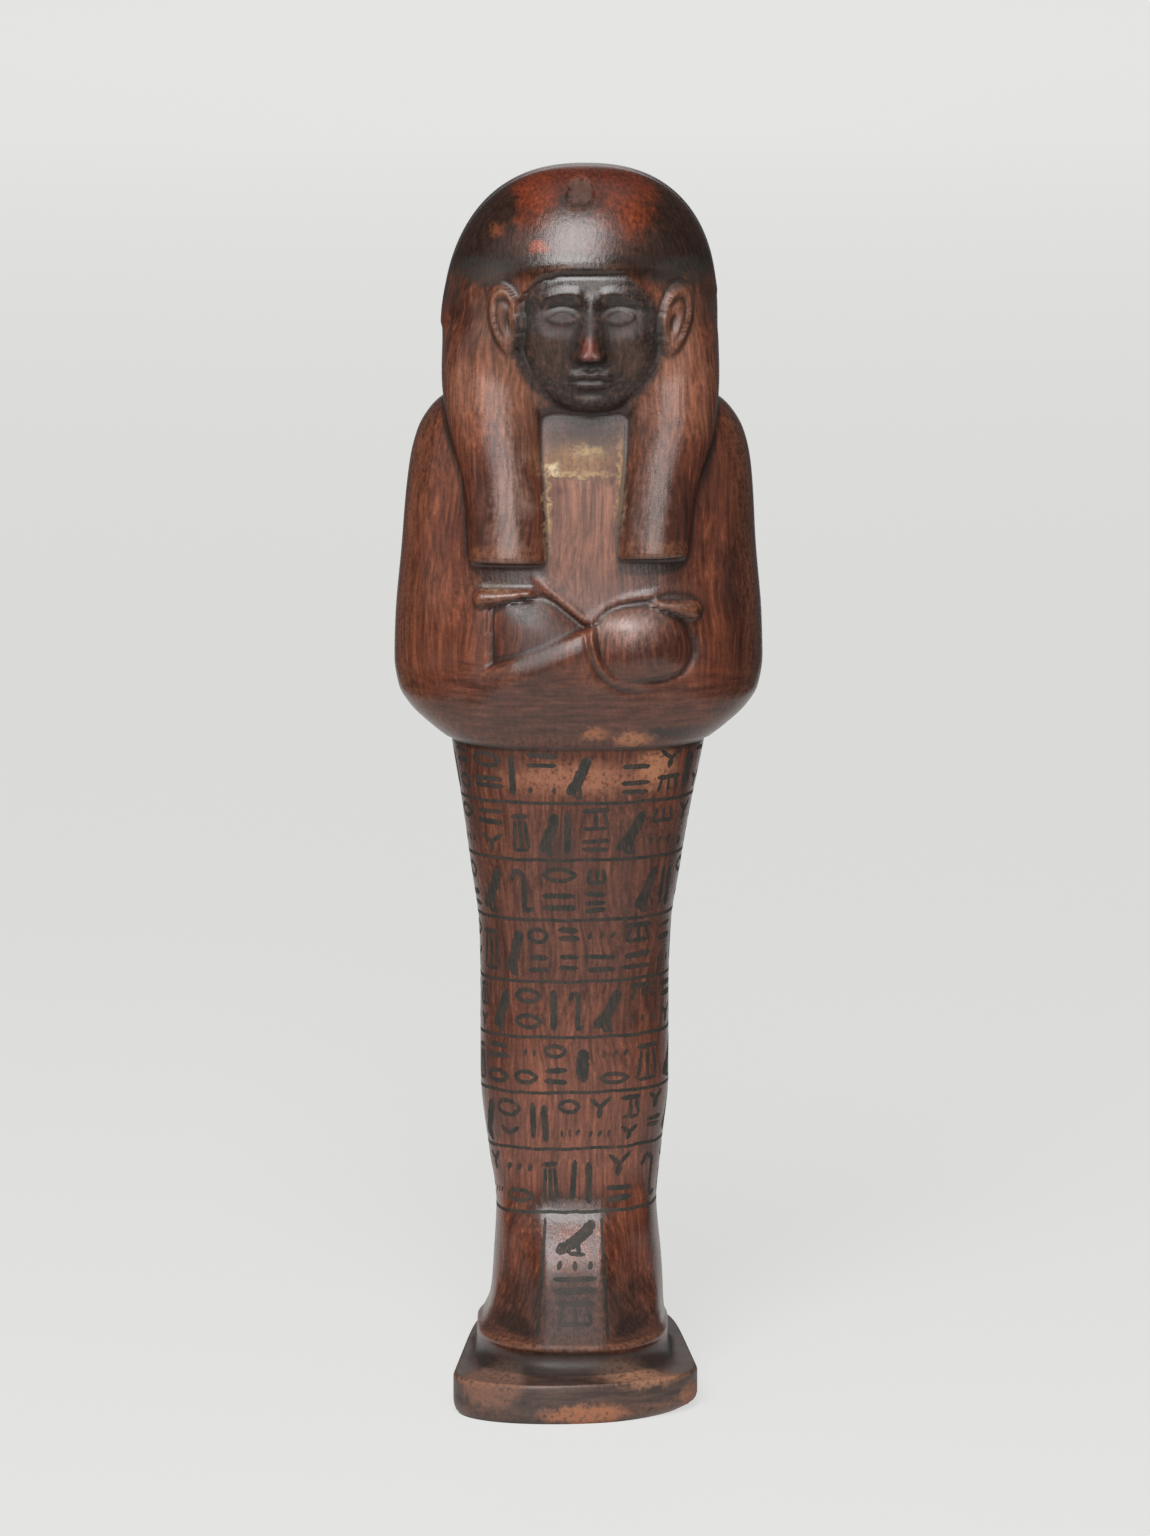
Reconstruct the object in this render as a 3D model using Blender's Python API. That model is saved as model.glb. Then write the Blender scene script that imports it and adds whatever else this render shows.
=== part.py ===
# Shabti: a mummy-shaped figure and its plinth, carved as one from a single block of wood.
# The figure stands on z = 0 and faces -Y; +X is to the right of someone who looks at its face.

import math

import bmesh
import bpy
import numpy as np

# Driving dimensions in metres.
FIGURE_HEIGHT = 0.230  # underside of the plinth to the crown of the wig
ELBOW_WIDTH = 0.0684  # across the shrouded elbows, the widest part
TORSO_DEPTH = 0.0396  # back to front through the crossed arms
PLINTH_THICKNESS = 0.0074
PLINTH_SIDE_MARGIN = 0.0044  # from the outer corner of a foot to the side of the plinth
PLINTH_FRONT_MARGIN = 0.0055  # from the toes to the front of the plinth
PLINTH_BACK_MARGIN = 0.0172  # from the heel to the back of the plinth
PLINTH_EDGE_ROUND = 0.0006  # worn arris round the plinth
LAPPET_RELIEF = 0.0036  # how far the tresses of the wig stand off the chest
FIST_RELIEF = 0.0022  # how far the fists stand off the shroud
BROW_STEP = 0.0012  # thickness of the wig's edge over the forehead

# How finely the form is faceted.
COLUMNS = 74
LOW_ROWS = 2
LEDGE_ROWS = 4
BODY_ROWS = 54
DOME_ROWS = 6

# The carving is drawn on a block of this many parts in height, and the three driving
# dimensions stretch the drawing, so every size below is a share of the figure.
PARTS = 230
DRAWN_PLINTH = 0.0322 * PARTS
WIDE = ELBOW_WIDTH / (0.2974 * PARTS)
DEEP = TORSO_DEPTH / (0.1722 * PARTS)
TALL = (FIGURE_HEIGHT - PLINTH_THICKNESS) / (PARTS - DRAWN_PLINTH)

# Heights on the drawing.
SHROUD_HEM = 0.54 * PARTS  # lower edge of the shroud over the elbows
LEFT_LAPPET_END = 0.6878 * PARTS
RIGHT_LAPPET_END = 0.6922 * PARTS
WIG_HEM = 0.6609 * PARTS  # lower edge of the wig down the back
CHIN = 0.8113 * PARTS
EYE_LINE = 0.8852 * PARTS
BROW_EDGE = 0.92 * PARTS
DOME_START = 0.8696 * PARTS
TOE_RIDGE = 0.0561 * PARTS
INSTEP_TOP = 0.1609 * PARTS

# Feet and plinth on the drawing.
TOE_REACH = 0.1217 * PARTS  # axis of the figure to the toes
HEEL_REACH = 0.0548 * PARTS
FOOT_HALF_WIDTH = 0.0787 * PARTS
FACE_CENTRE = 0.0083 * PARTS  # the face and the tresses sit a little to one side
AXIS_BEHIND_MIDDLE = 0.0083 * PARTS  # the body stands a little behind the middle of the plinth
CUT = 0.0043 * PARTS  # how softly a carved edge is rounded

PLINTH_HALF_WIDTH = FOOT_HALF_WIDTH + PLINTH_SIDE_MARGIN / WIDE
PLINTH_FRONT = TOE_REACH + PLINTH_FRONT_MARGIN / DEEP
PLINTH_BACK = HEEL_REACH + PLINTH_BACK_MARGIN / DEEP
EDGE = PLINTH_EDGE_ROUND / DEEP
WOOD = (0.205, 0.070, 0.040)


class Profile:
    """A smooth curve through a few (height, value) stations of the drawing."""

    def __init__(self, *stations):
        z, value = np.array(stations, float).T
        steps = np.diff(value) / np.diff(z)
        # Monotone slopes, so that no bulge appears between two stations.
        slope = np.zeros(len(z))
        same = steps[:-1] * steps[1:] > 0
        slope[1:-1][same] = 2 * steps[:-1][same] * steps[1:][same] / (steps[:-1] + steps[1:])[same]
        slope[0], slope[-1] = steps[0], steps[-1]
        self.z = np.linspace(z[0], z[-1], 600)
        i = np.clip(np.searchsorted(z, self.z, side="right") - 1, 0, len(z) - 2)
        width = z[i + 1] - z[i]
        t = (self.z - z[i]) / width
        self.value = (
            (1 + 2 * t) * (1 - t) ** 2 * value[i]
            + t * (1 - t) ** 2 * width * slope[i]
            + t * t * (3 - 2 * t) * value[i + 1]
            + t * t * (t - 1) * width * slope[i + 1]
        )

    def __call__(self, z):
        return np.interp(z, self.z, self.value)


# Stations are (height, size) up the figure: half widths, and reaches in front of and behind the axis.
LEG_HALF = Profile((0, 15.4), (20, 15.3), (34, 14.9), (46, 16.2), (60, 17.6), (78, 17.6), (88, 17.9), (98, 19.3),
                   (110, 21.1), (121, 23.1), (132, 25.0))
LEG_FRONT = Profile((0, 12.4), (20, 11.9), (34, 11.6), (62, 12.9), (78, 13.3), (98, 14.9), (121, 17.2), (132, 18))
LEG_BACK = Profile((0, 12.6), (20, 12.1), (34, 11.7), (62, 12.2), (78, 12.7), (88, 13.6), (104, 16.6), (114, 17.5),
                   (121, 17.0), (132, 16.6))
TORSO_HALF = Profile((121, 21.6), (124, 24.6), (126.4, 27.6), (129.9, 31.3), (133.4, 33.4), (138.7, 34.2),
                     (146, 34.0), (160, 32.8), (170, 32.1), (176, 31.4), (181, 30.1), (185, 27.7), (187.5, 24.8),
                     (190, 19.0), (192, 10.0))
TORSO_FRONT = Profile((121, 16.8), (124.3, 18.0), (129, 19.5), (138, 20.6), (146, 20.1), (156, 18.6), (168, 17.6),
                      (174, 16.9), (180, 15.6), (187, 13.8), (192, 10.0))
TORSO_BACK = Profile((120.5, 16.8), (126, 18.2), (138, 19.0), (170, 18.9), (180, 17.4), (187, 13.8), (192, 8.0))
WIG_HALF = Profile((148, 25.0), (165, 24.6), (178, 24.2), (186, 24.9), (193, 25.3), (200, 25.4), (210, 25.4))
WIG_FRONT = Profile((148, 9.0), (176, 10.5), (183, 13.0), (188, 16.4), (194, 18.8), (200, 20.4), (210, 21.6))
WIG_BACK = Profile((148, 20.6), (158, 21.4), (172, 22.6), (186, 24.2), (197, 24.6), (210, 24.6))
FOOT_FRONT = Profile((0, 25.6), (9, 25.8), (11.8, 26.9), (TOE_RIDGE - 0.2, TOE_REACH), (TOE_RIDGE + 0.2, TOE_REACH),
                     (13.9, 27.2), (18, 24.3), (24, 20.1), (30, 15.9), (INSTEP_TOP, 11.2), (44, 9.0))
FOOT_HALF = Profile((0, FOOT_HALF_WIDTH - 0.2), (12.5, FOOT_HALF_WIDTH), (14.2, 17.5), (16.5, 16.6), (20, 15.8),
                    (24, 15.0), (INSTEP_TOP, 13.6), (44, 12))
FOOT_MIDDLE = Profile((0, -1.1), (13, -1.05), (17, -0.7), (22, -0.2), (30, 0), (44, 0))
# Depth of the hollows beside the panel on the insteps.
VALLEY = Profile((0, 0), (12.8, 0), (13.3, 0.9), (14.6, 3.6), (16.5, 4.9), (21, 5.3), (27, 4.0), (36, 0.7), (44, 0))
# The real block leans a little as it rises.
LEAN = Profile((0, 0), (20, 0), (34, -0.3), (50, -0.65), (70, -0.7), (100, -0.5), (128, 0), (160, 0.1), (181, 0.4),
               (200, 0.3), (220, 1.0), (230, 1.3))

# The two tresses in front of the shoulders: centre across, half width.
LEFT_CENTRE = Profile((150, -12.9), (160, -13.0), (172, -13.9), (182, -15.4), (190, -16.0), (204, -16))
LEFT_HALF = Profile((150, 7.4), (172, 7.5), (182, 8.6), (190, 9.2), (204, 7))
RIGHT_CENTRE = Profile((150, 13.4), (160, 13.6), (172, 14.7), (182, 16.5), (190, 17.0), (204, 17))
RIGHT_HALF = Profile((150, 6.5), (172, 7.0), (182, 8.1), (190, 8.4), (204, 7))
TRESS_CENTRE = Profile((150, 14.2), (172, 13.4), (182, 11.8), (192, 10.5), (204, 9.0))
TRESS_DEPTH = 0.0322 * PARTS
TRESS_TOP = 0.874 * PARTS


def blend_step(low, high, value):
    """Rises softly from 0 at low to 1 at high; low may be the greater of the two."""
    t = np.clip((value - low) / (high - low), 0, 1)
    return t * t * (3 - 2 * t)


def bump(value, centre, reach):
    return np.exp(-(((value - centre) / reach) ** 2))


def join(a, b, soft):
    """Both forms together, with a fillet of about this size where they meet."""
    h = np.clip(0.5 + 0.5 * (b - a) / soft, 0, 1)
    return b + (a - b) * h - soft * h * (1 - h)


def keep(a, b, soft):
    """What two forms share, with its arris rounded by about this much."""
    return -join(-a, -b, soft)


def oval(x, f, half, front, back, square):
    """Below zero inside an oval that reaches further on one side of the axis than on the other."""
    depth = np.where(f > 0, front, back)
    across = (np.abs(x / half) ** square + np.abs(f / depth) ** square) ** (1 / square)
    return (across - 1) * np.minimum(half, (front + back) / 2)


def legs_and_feet(x, f, z):
    legs = oval(x, f, LEG_HALF(z), LEG_FRONT(z), LEG_BACK(z), 2.3)
    # A flat panel runs down the middle of the insteps, with a hollow on each side that flares to the toes.
    side = np.abs(x + 0.7)
    valley = blend_step(5.6, 8.8, side) * (1 - 0.35 * blend_step(13, 18, side))
    bow = 0.022 * side**2 * blend_step(34, 18, z)
    reach = np.maximum(FOOT_FRONT(z) - VALLEY(z) * valley - bow, 4)
    feet = oval(x - FOOT_MIDDLE(z), f, FOOT_HALF(z), reach, HEEL_REACH - 0.6, 4.0)
    return np.maximum(join(legs, feet, 1.6), z - 140)


def torso(x, f, z):
    square = 2.4 + 0.4 * blend_step(140, 155, z)
    body = oval(x, f, TORSO_HALF(z), TORSO_FRONT(z), TORSO_BACK(z), square)
    return np.maximum(keep(body, SHROUD_HEM - z, 0.4), z - 191)


def tress(x, f, z, centre, half, end):
    relief = LAPPET_RELIEF / DEEP - 3.6
    front = oval(x - centre(z), f - TRESS_CENTRE(z), half(z), TRESS_DEPTH + relief, TRESS_DEPTH, 2.5)
    return keep(keep(front, end - z, CUT), z - TRESS_TOP, 4.0)


def wig(x, f, z):
    # An oval bell that closes over the crown, a little squarer round the face.
    depth = np.where(f > 0, WIG_FRONT(z), WIG_BACK(z))
    square = 2.1 + 0.5 * blend_step(214, 198, z) * (f > 0)
    plan = (np.abs(x / WIG_HALF(z)) ** square + np.abs(f / depth) ** square) ** (1 / square)
    rise = np.clip((z - DOME_START) / (PARTS - DOME_START), 0, None)
    shell = ((plan**2.4 + rise**2.4) ** (1 / 2.4) - 1) * 22
    shell = keep(shell, WIG_HEM - z, 0.6)
    # The cap swells a little over the hair below it.
    edge = BROW_EDGE - 2e-5 * (x - FACE_CENTRE) ** 4
    shell = shell - 0.75 * blend_step(-1.6, 1.8, z - edge) * blend_step(2, 8, f)
    left = tress(x, f, z, LEFT_CENTRE, LEFT_HALF, LEFT_LAPPET_END)
    right = tress(x, f, z, RIGHT_CENTRE, RIGHT_HALF, RIGHT_LAPPET_END)
    return join(shell, np.minimum(left, right), 3.0)


def face_oval(across, z):
    """Below zero inside the oval of the face, seen from the front."""
    up = z - (EYE_LINE - 2.0)
    tall = np.where(up > 0, BROW_EDGE - EYE_LINE + 2.2, EYE_LINE - CHIN - 1.9)
    square = np.where(up > 0, 3.4, 1.95)
    return ((np.abs(across / 13.1) ** square + np.abs(up / tall) ** square) ** (1 / square) - 1) * 12


def face_reach(across, z):
    """How far the face reaches in front of the axis, feature by feature."""
    side = np.abs(across)
    share = np.clip(side / 14.1, 0, 1)
    up = z - EYE_LINE
    reach = 16.6 + 4.3 * (1 - share**2.4) ** 0.5 - 0.010 * (up - 1) ** 2
    reach += 0.5 * bump(up, 4.0, 1.3) * bump(side, 5.0, 4.2)  # brow
    reach -= 1.9 * bump(up, 0.5, 2.3) * bump(side, 5.0, 3.1)  # eye socket
    reach += 1.6 * bump(up, 0, 1.4) * bump(side, 5.1, 2.5)  # eyeball
    bridge = 0.5 + 3.0 * blend_step(-3.0, 7.4, -up)
    width = 1.7 + 0.08 * np.clip(2 - up, 0, 9)
    nose = bridge * np.exp(-np.abs(side / width) ** 2.6) * blend_step(-8.6, -7.4, up)
    reach += nose * (1 - blend_step(2.2, 5.5, up))
    reach += 1.3 * bump(side, 2.0, 1.0) * bump(up, -7.1, 1.0)  # wings of the nose
    reach += 0.7 * bump(up, -11.2, 2.8) * bump(side, 0, 5.0)  # muzzle
    mouth = blend_step(4.9, 2.8, side)
    reach += 0.7 * bump(up, -10.6, 0.8) * mouth  # upper lip
    reach += 0.8 * bump(up, -12.5, 0.9) * mouth  # lower lip
    reach -= 0.5 * bump(up, -11.5, 0.4) * mouth  # between the lips
    reach -= 0.5 * bump(up, -14.0, 0.8) * bump(side, 0, 3.4)
    reach += 1.1 * bump(up, -16.0, 1.9) * bump(side, 0, 3.6)  # chin
    reach += 0.6 * bump(up, -4.0, 3.0) * bump(side, 8.0, 2.8)  # cheekbone
    return reach


def head(x, f, z):
    hair = wig(x, f, z)
    across = x - FACE_CENTRE
    # The wig is cut away inside the oval of the face, and the face is the floor of that cut.
    border = face_oval(across, z)
    hair = keep(hair, -np.maximum(border, 8 - f), CUT)
    sunk = BROW_STEP / DEEP - 1.2
    face = keep(f + sunk - face_reach(across, z), border - 1.0, 4.0)
    return join(np.maximum(face, -f), hair, 0.6)


def ear(x, f, z, outward):
    """Height of an ear above the side of the wig: a rim, a hollow and a lobe."""
    across = (x - FACE_CENTRE) * outward - 15.7 - 0.14 * (z - EYE_LINE)
    up = (z - EYE_LINE + 0.6) / 6.3
    half = 2.7 * (1 + 0.18 * up)
    ring = np.sqrt((across / half) ** 2 + up**2)
    height = 1.2 * (1 - blend_step(0.8, 1.16, ring))
    return (height - 0.9 * bump(across, -0.5, 0.9) * bump(up, 0.05, 0.5)) * (f > 3)


def past_line(x, z, start, end):
    """Distance of a point on the front to the left of the line from start to end."""
    dx, dz = end[0] - start[0], end[1] - start[1]
    return ((z - start[1]) * dx - (x - start[0]) * dz) / math.hypot(dx, dz)


def peg(x, z, thick_end, thin_end, radius):
    """Relief of the end of a folded cloth that a fist holds: thick where it comes out, then tapering."""
    dx, dz = thin_end[0] - thick_end[0], thin_end[1] - thick_end[1]
    t = np.clip(((x - thick_end[0]) * dx + (z - thick_end[1]) * dz) / (dx * dx + dz * dz), 0, 1)
    gap = np.hypot(x - thick_end[0] - t * dx, z - thick_end[1] - t * dz)
    return 1.5 * (1 - (np.clip(gap / (radius * (1 - 0.7 * t)), 0, 1)) ** 3)


def arm_relief(x, z):
    """How far the crossed arms and the fists stand off the shroud, over the front of the figure."""
    lift = FIST_RELIEF / DEEP
    # The edge of the shroud: a thin band that runs down to the crossing and up again over the other fist.
    left_edge = past_line(x, z, (0.9, 147.2), (-6.4, 153.1))
    right_edge = np.minimum(past_line(x, z, (9.0, 150.6), (1.2, 147.0)), past_line(x, z, (17.0, 152.3), (9.0, 150.6)))
    edge = np.maximum(left_edge, right_edge)
    band = 0.6 * blend_step(CUT, -CUT, edge) * blend_step(-4.0, -2.0, edge)
    relief = band * blend_step(-9.5, -5.5, x) * blend_step(17, 13, x)
    # The fist that lies under the other arm, in an opening cut a little below the shroud.
    fist = keep(keep(-16.3 - x, z - 152.4, 3.0), -left_edge, 1.5)
    swell = (1 - np.clip(1 + fist / 5.0, 0, 1) ** 2.2) ** 0.7
    inside = blend_step(CUT, -CUT, fist)
    relief = relief * (1 - inside) + inside * (lift * swell - 0.9)
    # The forearm over it: a crisp upper edge, and below it the arm fades into the belly.
    cuff = past_line(x, z, (2.8, 146.8), (8.3, 136.8))
    over = past_line(x, z, (-14.6, 139.8), (2.8, 147.0))
    forearm = 0.85 * lift * blend_step(-17, -3, over) * blend_step(-21.5, -12, x) * blend_step(5, -0.5, cuff)
    above = blend_step(-0.6 * CUT, 0.6 * CUT, over)
    seam = 0.7 * bump(over, 0.5, 0.9) * blend_step(-18, -12, x) * blend_step(4, 1, x)
    relief = relief * above + forearm * (1 - above) - seam
    # The fist in front.
    turn_x, turn_z = (x - 12.1) + 0.25 * (z - 143.9), (z - 143.9) - 0.10 * (x - 12.1)
    fist = ((np.abs(turn_x / 8.7) ** 2.6 + np.abs(turn_z / 7.5) ** 2.6) ** (1 / 2.6) - 1) * 7.5
    swell = (1 - np.clip(1 + fist / 6.0, 0, 1) ** 2.3) ** 0.7
    inside = blend_step(CUT, -CUT, fist)
    relief = relief * (1 - inside) + inside * ((lift + 1.1) * swell - 1.0)
    relief = np.maximum(relief, peg(x, z, (-17.9, 151.9), (-8.7, 152.9), 1.9))
    return np.maximum(relief, peg(x, z, (20.9, 149.7), (13.9, 151.0), 2.2))


def arms(x, f, z, body):
    """The crossed arms are carved in relief on the front of the shroud."""
    return body - arm_relief(x, z) * blend_step(6, 10, f) * blend_step(127, 131, z) * blend_step(158, 155, z)


def plinth(x, f, z):
    # Widest towards its bowed front, which is turned a little, and tapering to a squarer back.
    widest = TOE_REACH - 8.0
    forward = f + 0.11 * (x + 4) * blend_step(-20, 25, f)
    aside = x + 0.5
    taper = PLINTH_HALF_WIDTH * (1 - 0.19 * np.clip((widest - forward) / (widest + PLINTH_BACK), 0, 1))
    reach = np.where(forward > widest, PLINTH_FRONT - widest, PLINTH_BACK + widest)
    square = np.where(forward > widest, 2.1, 8.0)
    along = np.abs(forward - widest) / reach
    plan = ((np.abs(aside / taper) ** square + along**square) ** (1 / square) - 1) * np.minimum(taper, reach)
    # The lower arris is worn away, most at one front corner.
    worn = 0.5 + 2.4 * blend_step(4, 18, x) * blend_step(5, 20, f)
    return keep(plan + worn * np.clip(1 - z / 2.4, 0, 1) ** 2, z - DRAWN_PLINTH, EDGE)


def form(x, f, z):
    """Below zero inside the wood. x runs across, f forward of the axis and z up, on the drawing."""
    plain = x - LEAN(z)
    lower = legs_and_feet(plain, f, z)
    upper = arms(plain, f, z, torso(plain, f, z))
    figure = join(lower, upper, 0.4)
    crown = head(plain, f, z) - ear(plain, f, z, -1) - ear(plain, f, z, 1)
    figure = join(figure, crown, 0.5)
    # The front of the toes sweeps down to the plinth in a hollow.
    return join(figure, plinth(x, f, z), 1.6 + 3.6 * blend_step(4, 27, f))


def meet(start_x, start_f, start_z, dir_x, dir_f, dir_z, reach):
    """Comes in along each ray from outside and returns how far along it the wood begins."""
    inside = np.zeros_like(start_x)
    outside = np.full_like(start_x, reach)
    found = np.zeros(len(start_x), bool)
    for t in np.linspace(reach, 0, 61):
        value = form(start_x + t * dir_x, start_f + t * dir_f, start_z + t * dir_z)
        hit = (value < 0) & ~found
        inside[hit] = t
        found |= hit
        outside[~found] = t
    for _ in range(18):
        middle = (inside + outside) / 2
        value = form(start_x + middle * dir_x, start_f + middle * dir_f, start_z + middle * dir_z)
        inside = np.where(value < 0, middle, inside)
        outside = np.where(value < 0, outside, middle)
    return (inside + outside) / 2


def spread(density, low, high):
    """A function that shares out 0 to 1 between low and high, closer together where density is greater."""
    at = np.linspace(low, high, 2000)
    total = np.concatenate([[0], np.cumsum((density(at[1:]) + density(at[:-1])) / 2)])
    return lambda share: np.interp(share, total / total[-1], at)


def crowding_round(turn):
    """More columns over the face and arms, and some for the corners of the plinth."""
    return 1 + 2.6 * bump(turn, 0, 0.85) + 1.3 * bump(np.abs(turn), 2.62, 0.12) + 1.0 * bump(np.abs(turn), 0.78, 0.2)


def crowding_up(z):
    """More rows over the face, the arms and the toes."""
    plain_leg = blend_step(32, 46, z) * blend_step(118, 104, z)
    return 1 - 0.6 * plain_leg + 1.8 * bump(z, 198, 12) + 3.0 * bump(z, 145.5, 8) + 1.6 * bump(z, 11, 5)


# Where the inner edge of each tress, then the side of the face, lies across the front.
LEFT_SEAM = Profile((120, -7.5), (150, -5.6), (172, -6.5), (182, -6.9), (189, -6.6), (193, -8.6), (197, -10.4),
                    (203, -11.2), (208, -11.0), (222, -10))
RIGHT_SEAM = Profile((120, 9.5), (150, 6.9), (172, 7.8), (182, 8.5), (189, 9.2), (193, 12.2), (197, 14.2),
                     (203, 15.0), (208, 14.8), (222, 12))
SEAM_DEPTH = 0.074 * PARTS


def turn_round(column, z):
    """Direction of a column at a height, drawn aside so that the same two columns follow each seam."""
    even = spread(crowding_round, -math.pi, math.pi)
    plain = even(np.linspace(0, 1, COLUMNS + 1))
    rest, place = [-math.pi], [-math.pi]
    for seam in (LEFT_SEAM, RIGHT_SEAM):
        before = np.searchsorted(plain, math.atan2(seam(0), SEAM_DEPTH)) - 1
        middle = np.arctan2(seam(z), SEAM_DEPTH)
        rest += [plain[before], plain[before + 1]]
        place += [middle - 0.45 / SEAM_DEPTH, middle + 0.45 / SEAM_DEPTH]
    rest.append(math.pi)
    place.append(math.pi)
    turn = even(column)
    moved = np.zeros_like(turn)
    for i in range(5):
        share = (turn - rest[i]) / (rest[i + 1] - rest[i])
        here = (share > -1e-9) & (share < 1 + 1e-9)
        moved = np.where(here, place[i] + (place[i + 1] - place[i]) * share, moved)
    return moved


def body_levels():
    """Heights of the rows between the plinth and the dome, with one on each side of every carved edge."""
    share = np.linspace(0, 1, BODY_ROWS + 1)
    level = spread(crowding_up, DRAWN_PLINTH + 1.1, PARTS - 18)(share)
    for edge in (TOE_RIDGE + 0.5, SHROUD_HEM, LEFT_LAPPET_END + 0.5, CHIN, BROW_EDGE - 0.1):
        below = np.clip(np.searchsorted(level, edge) - 1, 1, BODY_ROWS - 2)
        level[below], level[below + 1] = edge - 0.45, edge + 0.45
    return lambda body_share: np.interp(body_share, share, level)


def points_on_form(column, row):
    """Places grid points, given as shares round and up the figure, on the carved surface."""
    rows = LOW_ROWS + LEDGE_ROWS + BODY_ROWS + DOME_ROWS
    step = row * rows
    side = step <= LOW_ROWS + 1e-6
    ledge = (step > LOW_ROWS + 1e-6) & (step < LOW_ROWS + LEDGE_ROWS - 1e-6)
    body_share = np.clip((step - LOW_ROWS - LEDGE_ROWS) / BODY_ROWS, 0, 1)
    dome_share = np.clip((step - LOW_ROWS - LEDGE_ROWS - BODY_ROWS) / DOME_ROWS, 0, 1)

    level = body_levels()(body_share)
    rise = dome_share * math.pi / 2
    # Side of the plinth: straight out from the axis at a height below its arris.
    level = np.where(side, np.clip(step / LOW_ROWS, 0, 1) * (DRAWN_PLINTH - EDGE), level)
    turn = turn_round(column, level)
    across, forward = np.sin(turn), np.cos(turn)
    zero = np.zeros_like(across)
    out_x, out_f, out_z = across * np.cos(rise), forward * np.cos(rise), np.sin(rise)
    distance = meet(zero, zero, level, out_x, out_f, out_z, 62.0)
    x, f, z = distance * out_x, distance * out_f, level + distance * out_z
    # Top of the plinth: straight down, at points between its edge and the foot of the figure.
    if ledge.any():
        some = np.where(ledge)[0]
        zeros = np.zeros(len(some))
        edge_z = np.full(len(some), DRAWN_PLINTH - EDGE)
        foot_z = np.full(len(some), DRAWN_PLINTH + 1.1)
        edge = meet(zeros, zeros, edge_z, across[some], forward[some], zeros, 62.0) - EDGE * 0.4
        inner = meet(zeros, zeros, foot_z, across[some], forward[some], zeros, 62.0)
        share = (step[some] - LOW_ROWS) / LEDGE_ROWS
        share = np.where(share < 0.3, share * 0.35, share)
        radius = edge + (inner - edge) * share
        px, pf = radius * across[some], radius * forward[some]
        up = meet(px, pf, np.full(len(some), 1.0), zeros, zeros, zeros + 1, 12.0)
        x[some], f[some], z[some] = px, pf, 1.0 + up
    return x, f, z


def to_metres(x, f, z):
    """From the drawing to the real block: the plinth and the figure above it each keep their own height."""
    below = z / DRAWN_PLINTH * PLINTH_THICKNESS
    above = PLINTH_THICKNESS + (z - DRAWN_PLINTH) * TALL
    return x * WIDE, (AXIS_BEHIND_MIDDLE - f) * DEEP, np.where(z < DRAWN_PLINTH, below, above)


def carve_figure():
    """Wraps a flat grid round the form, closes it over the crown and under the plinth."""
    bm = bmesh.new()
    rows = LOW_ROWS + LEDGE_ROWS + BODY_ROWS + DOME_ROWS
    bmesh.ops.create_grid(bm, x_segments=COLUMNS, y_segments=rows, size=0.5)
    flat = np.array([vert.co[:2] for vert in bm.verts]) + 0.5
    x, y, z = to_metres(*points_on_form(flat[:, 0], flat[:, 1]))
    for vert, place in zip(bm.verts, zip(x, y, z)):
        vert.co = place
    bmesh.ops.remove_doubles(bm, verts=bm.verts[:], dist=1e-6)
    rim = [edge for edge in bm.edges if edge.is_boundary]
    bmesh.ops.contextual_create(bm, geom=rim)
    bmesh.ops.recalc_face_normals(bm, faces=bm.faces[:])
    bmesh.ops.triangulate(bm, faces=bm.faces[:])
    mesh = bpy.data.meshes.new("shabti")
    bm.to_mesh(mesh)
    bm.free()
    return mesh


def wood_material():
    material = bpy.data.materials.new("oiled_wood")
    material.use_nodes = True
    shader = material.node_tree.nodes["Principled BSDF"]
    shader.inputs["Base Color"].default_value = (*WOOD, 1)
    shader.inputs["Roughness"].default_value = 0.38
    shader.inputs["Metallic"].default_value = 0
    return material


def main():
    for old in list(bpy.data.objects):
        bpy.data.objects.remove(old)
    mesh = carve_figure()
    mesh.materials.append(wood_material())
    mesh.shade_smooth()
    mesh.set_sharp_from_angle(angle=math.radians(50))
    figure = bpy.data.objects.new("shabti", mesh)
    bpy.context.scene.collection.objects.link(figure)


main()
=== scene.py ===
import math
import random

import bmesh
import bpy
import numpy as np
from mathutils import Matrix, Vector, noise
from mathutils.bvhtree import BVHTree


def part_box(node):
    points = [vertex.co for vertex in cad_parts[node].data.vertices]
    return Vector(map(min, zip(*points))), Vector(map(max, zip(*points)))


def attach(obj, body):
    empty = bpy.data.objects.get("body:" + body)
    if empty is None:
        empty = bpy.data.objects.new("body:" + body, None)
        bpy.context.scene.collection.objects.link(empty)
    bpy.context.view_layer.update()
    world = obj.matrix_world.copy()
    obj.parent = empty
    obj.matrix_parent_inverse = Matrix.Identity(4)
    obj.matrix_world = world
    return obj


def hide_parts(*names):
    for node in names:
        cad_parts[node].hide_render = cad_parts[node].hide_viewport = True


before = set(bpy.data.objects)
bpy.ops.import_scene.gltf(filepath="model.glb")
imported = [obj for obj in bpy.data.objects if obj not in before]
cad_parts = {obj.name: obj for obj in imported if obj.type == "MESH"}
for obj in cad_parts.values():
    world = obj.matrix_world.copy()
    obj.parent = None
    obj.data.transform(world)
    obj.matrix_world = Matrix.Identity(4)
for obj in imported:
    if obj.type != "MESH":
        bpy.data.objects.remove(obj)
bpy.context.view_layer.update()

lowCorner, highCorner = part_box("shabti")
part = (highCorner[2] - lowCorner[2]) / 230.25  # one part of the carving, about a millimetre


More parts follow.
